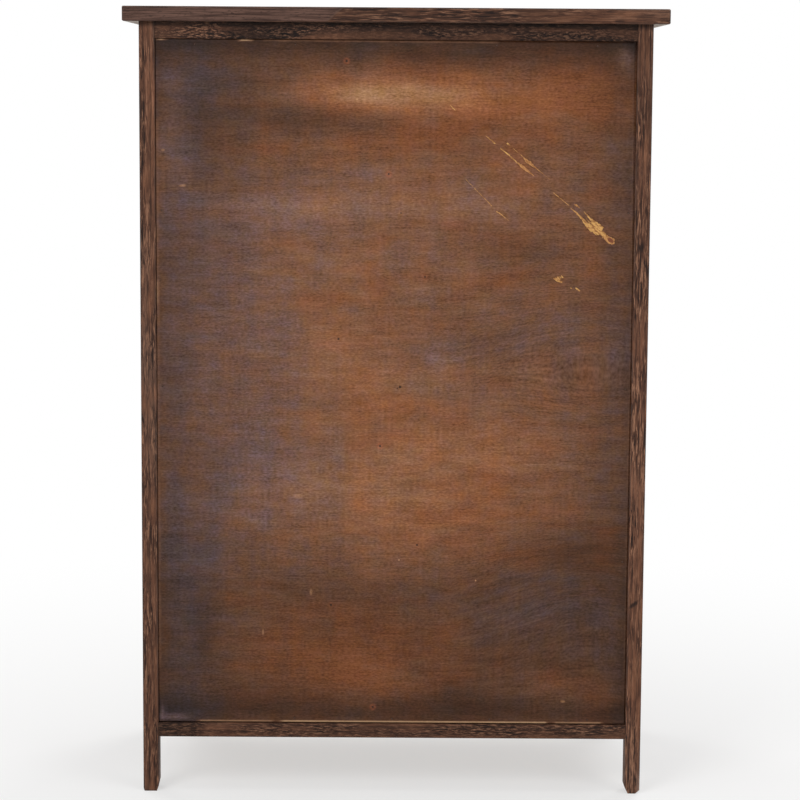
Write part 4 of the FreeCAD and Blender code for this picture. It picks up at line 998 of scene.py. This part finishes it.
def back_panel_stain():
    """Stained veneer of the back panel, with the patches of stain and of painted light and shade, the knots
    and the scratches that the mesh carries.
    """
    graph = Graph("stained_back_panel")
    x, _, z = graph.split(graph.place())
    board = graph.join(x, z - graph.painted("lean") * MM, 0.0)
    texture = veneer_texture(graph, board)

    def away_from(place_x, place_z, half_x=1.0, half_z=1.0):
        """Distance from a place given in millimetres, in metres or in half sizes of an oval."""
        off_x = (x - place_x * MM) * (1 / half_x)
        off_z = (z - place_z * MM) * (1 / half_z)
        return graph.length(graph.join(off_x, off_z, 0.0))

    warmth = graph.painted("warmth")
    for part, amount in STAIN_WARMTH:
        warmth += texture[part].swing(amount)
    light = graph.painted("light")
    cast = graph.mix(warmth.span(0.0, 0.6), COOL_CAST, BROWN_CAST)
    cast = graph.mix(warmth.span(0.6, 1.1), cast, ORANGE_CAST)
    cast = graph.mix(light.rise(0.09, 0.21, 0.0, 0.9), cast, PALE_CAST)
    colour = graph.shade(cast, light)
    figure = graph.noise(board, (19, 390, 1), 2, 0.55, 0.5)
    figure = figure.vary(-0.18, 0.18) * graph.painted("figure")
    colour = graph.shade(colour, figure + 1.0)

    # Pin knots with their rings, then small pale marks
    for knot_x, knot_z, radius, ring in PIN_KNOTS:
        away = away_from(knot_x, knot_z)
        if ring:
            outer = away.rise(4.6 * MM, 2.2 * MM)
            halo = outer * away.rise(radius * MM, 1.8 * radius * MM)
            colour = graph.mix(halo * (0.6 * ring), colour, KNOT_RING)
        core = away.rise(1.5 * radius * MM, 0.6 * radius * MM, 0.0, 0.85)
        colour = graph.mix(core, colour, KNOT_BLACK)
    for mark_x, mark_z, half_x, half_z, strength in PALE_MARKS:
        away = away_from(mark_x, mark_z, half_x * MM, half_z * MM)
        away += texture["fleck"].swing(1.4)
        colour = graph.mix(away.rise(1.1, 0.4, 0.0, strength), colour, MARK_TAN)
    colour = veneer_colour(graph, texture, colour)
    colour = graph.mix(graph.painted("hole").rise(1.9, 0.9, 0.0, 0.4), colour, STAIN_DARK)

    # Edges rubbed down to paler ply
    rub_noise = graph.noise(graph.join(x, z, 0.0), (140, 140, 1), 3, 0.6)
    rub_amount = graph.painted("rub")
    rub = (rub_amount + rub_noise.swing(0.5)).span(0.1, 0.9)
    rub_colour = graph.mix(rub_amount.rise(0.3, 0.8), RUB_BROWN, RUB_PALE)
    rub = rub * rub_amount.rise(0.0, 0.1)
    colour = graph.mix(rub, colour, rub_colour)

    # Scratches: raw wood inside with fibres along them, a ragged edge and a reddish tip
    part_x, part_z = SCRATCH_ALONG
    along = x * part_x + z * part_z
    across = x * part_z - z * part_x
    scratch_place = graph.join(along, across, 0.0)
    splinter = graph.noise(scratch_place, (300, 1100, 1), 3, 0.65)
    raw_fibre = graph.noise(scratch_place, (190, 520, 1), 3, 0.6)
    half = graph.painted("half")
    swing = half.span(0.0, 5.0, 1.5, 6.5)
    reach = half - graph.math("ABSOLUTE", graph.painted("across"))
    reach += splinter.swing(swing)
    inside = reach.rise(-0.12, 0.38)
    left_on = splinter.rise(0.40, 0.33) * half.rise(0.8, 1.6)
    inside = inside * (1.0 - left_on * 0.85)
    raw = graph.mix(graph.painted("pale_wood"), RAW_ORANGE, RAW_CREAM)
    raw = graph.mix(raw_fibre.rise(0.55, 0.38, 0.0, 0.85), raw, RAW_SHADE)
    raw = graph.mix(splinter.rise(0.50, 0.36, 0.0, 0.7), raw, RAW_ORANGE)
    tip_along = along - (SCRATCH_TIP[0] * part_x + SCRATCH_TIP[1] * part_z) * MM
    tip_across = across - (SCRATCH_TIP[0] * part_z - SCRATCH_TIP[1] * part_x) * MM
    tip = graph.length(graph.join(tip_along, tip_across * 1.8, 0.0))
    tip += splinter.swing(5.0 * MM)
    raw = graph.mix(tip.rise(4.4 * MM, 2.8 * MM, 0.0, 0.9), raw, TIP_BROWN)
    rim = reach.rise(-1.3, -0.3, 0.0, 0.35)
    colour = graph.mix(rim * half.rise(0.3, 1.5), colour, STAIN_DARK)
    colour = graph.mix(inside, colour, raw)
    colour = graph.mix(facing(graph, "Y", -1), colour, raw_ply(graph, texture))
    height = veneer_height(graph, texture)
    height = height - inside * raw_fibre.vary(0.4, 1.2)
    return veneer_finish(graph, colour, texture, height)


make_back_panel()


# Floor, light and camera
WHITE = (1.0, 1.0, 1.0, 1.0)


def make_floor():
    """A wide pale disc that keeps the chest's shadow and fades into the white surroundings."""
    mesh = bmesh.new()
    bmesh.ops.create_circle(mesh, cap_ends=True, segments=96, radius=30.0)
    data = bpy.data.meshes.new("floor")
    mesh.to_mesh(data)
    mesh.free()
    floor = placed("floor", data)
    graph = Graph("pale_floor")
    ground = graph.out("BsdfDiffuse", {"Color": (0.80, 0.80, 0.795, 1.0)})
    white = graph.out("Emission", {"Color": WHITE, "Strength": 1.0})
    rays = graph.node("LightPath").outputs
    camera_ray, glossy_ray, glass_ray = (
        Value(graph, rays[f"Is {kind} Ray"]) for kind in ("Camera", "Glossy", "Transmission"))
    showing = graph.larger(camera_ray, graph.larger(glossy_ray, glass_ray))
    share = showing * graph.length(graph.place()).rise(0.25, 1.3, 0.55, 1.0)
    graph.node("OutputMaterial", {"Surface": graph.out("MixShader", {0: share, 1: ground, 2: white})})
    floor.data.materials.append(graph.owner)


def make_world():
    """White where it is seen, softer where it lights."""
    graph = Graph("studio", "worlds")
    bpy.context.scene.world = graph.owner
    rays = graph.node("LightPath").outputs
    seen = graph.larger(*(Value(graph, rays[f"Is {kind} Ray"]) for kind in ("Camera", "Transmission")))
    light, white = (
        graph.out("Background", {"Color": WHITE, "Strength": strength}) for strength in (AMBIENT, 1.0))
    graph.node("OutputWorld", {"Surface": graph.out("MixShader", {0: seen, 1: light, 2: white})})


def soft_box(name, place, size, power):
    """A square lamp that looks at the middle of the chest."""
    data = bpy.data.lights.new(name, "AREA")
    data.shape = "SQUARE"
    data.size = size
    data.energy = power
    lamp = placed(name, data)
    lamp.location = place
    lamp.rotation_euler = (AIM - Vector(place)).to_track_quat("-Z", "Y").to_euler()


# Strength of the light from all around, and the point that the lamps look at
AMBIENT = 0.37
AIM = Vector((0.0, 0.0, 0.42))
make_floor()
make_world()
soft_box("back_key", (1.5, 2.4, 2.1), 1.4, 41.0)
soft_box("back_fill", (-1.9, 2.0, 1.3), 1.4, 20.0)
soft_box("front_key", (-1.5, -2.4, 2.1), 1.4, 41.0)
soft_box("front_fill", (1.9, -2.0, 1.3), 1.4, 20.0)
soft_box("overhead", (0.0, 0.0, 2.8), 1.6, 20.0)

# The camera stands behind the chest, a little above its middle, and looks slightly down
CAMERA_PLACE = (-0.0027, 2.6503, 0.7281)
CAMERA_PITCH = math.radians(7.16)
CAMERA_YAW = math.radians(-0.08)
CAMERA_ROLL = math.radians(0.37)
CAMERA_LENS = 111.1
camera_data = bpy.data.cameras.new("camera")
camera_data.sensor_width = 36.0
camera_data.lens = CAMERA_LENS
camera = placed("camera", camera_data)
turned = (
    Matrix.Rotation(math.pi + CAMERA_YAW, 4, "Z")
    @ Matrix.Rotation(math.pi / 2 - CAMERA_PITCH, 4, "X")
    @ Matrix.Rotation(CAMERA_ROLL, 4, "Z")
)
camera.matrix_world = Matrix.Translation(CAMERA_PLACE) @ turned
bpy.context.scene.camera = camera
bpy.context.scene.view_settings.view_transform = "Standard"
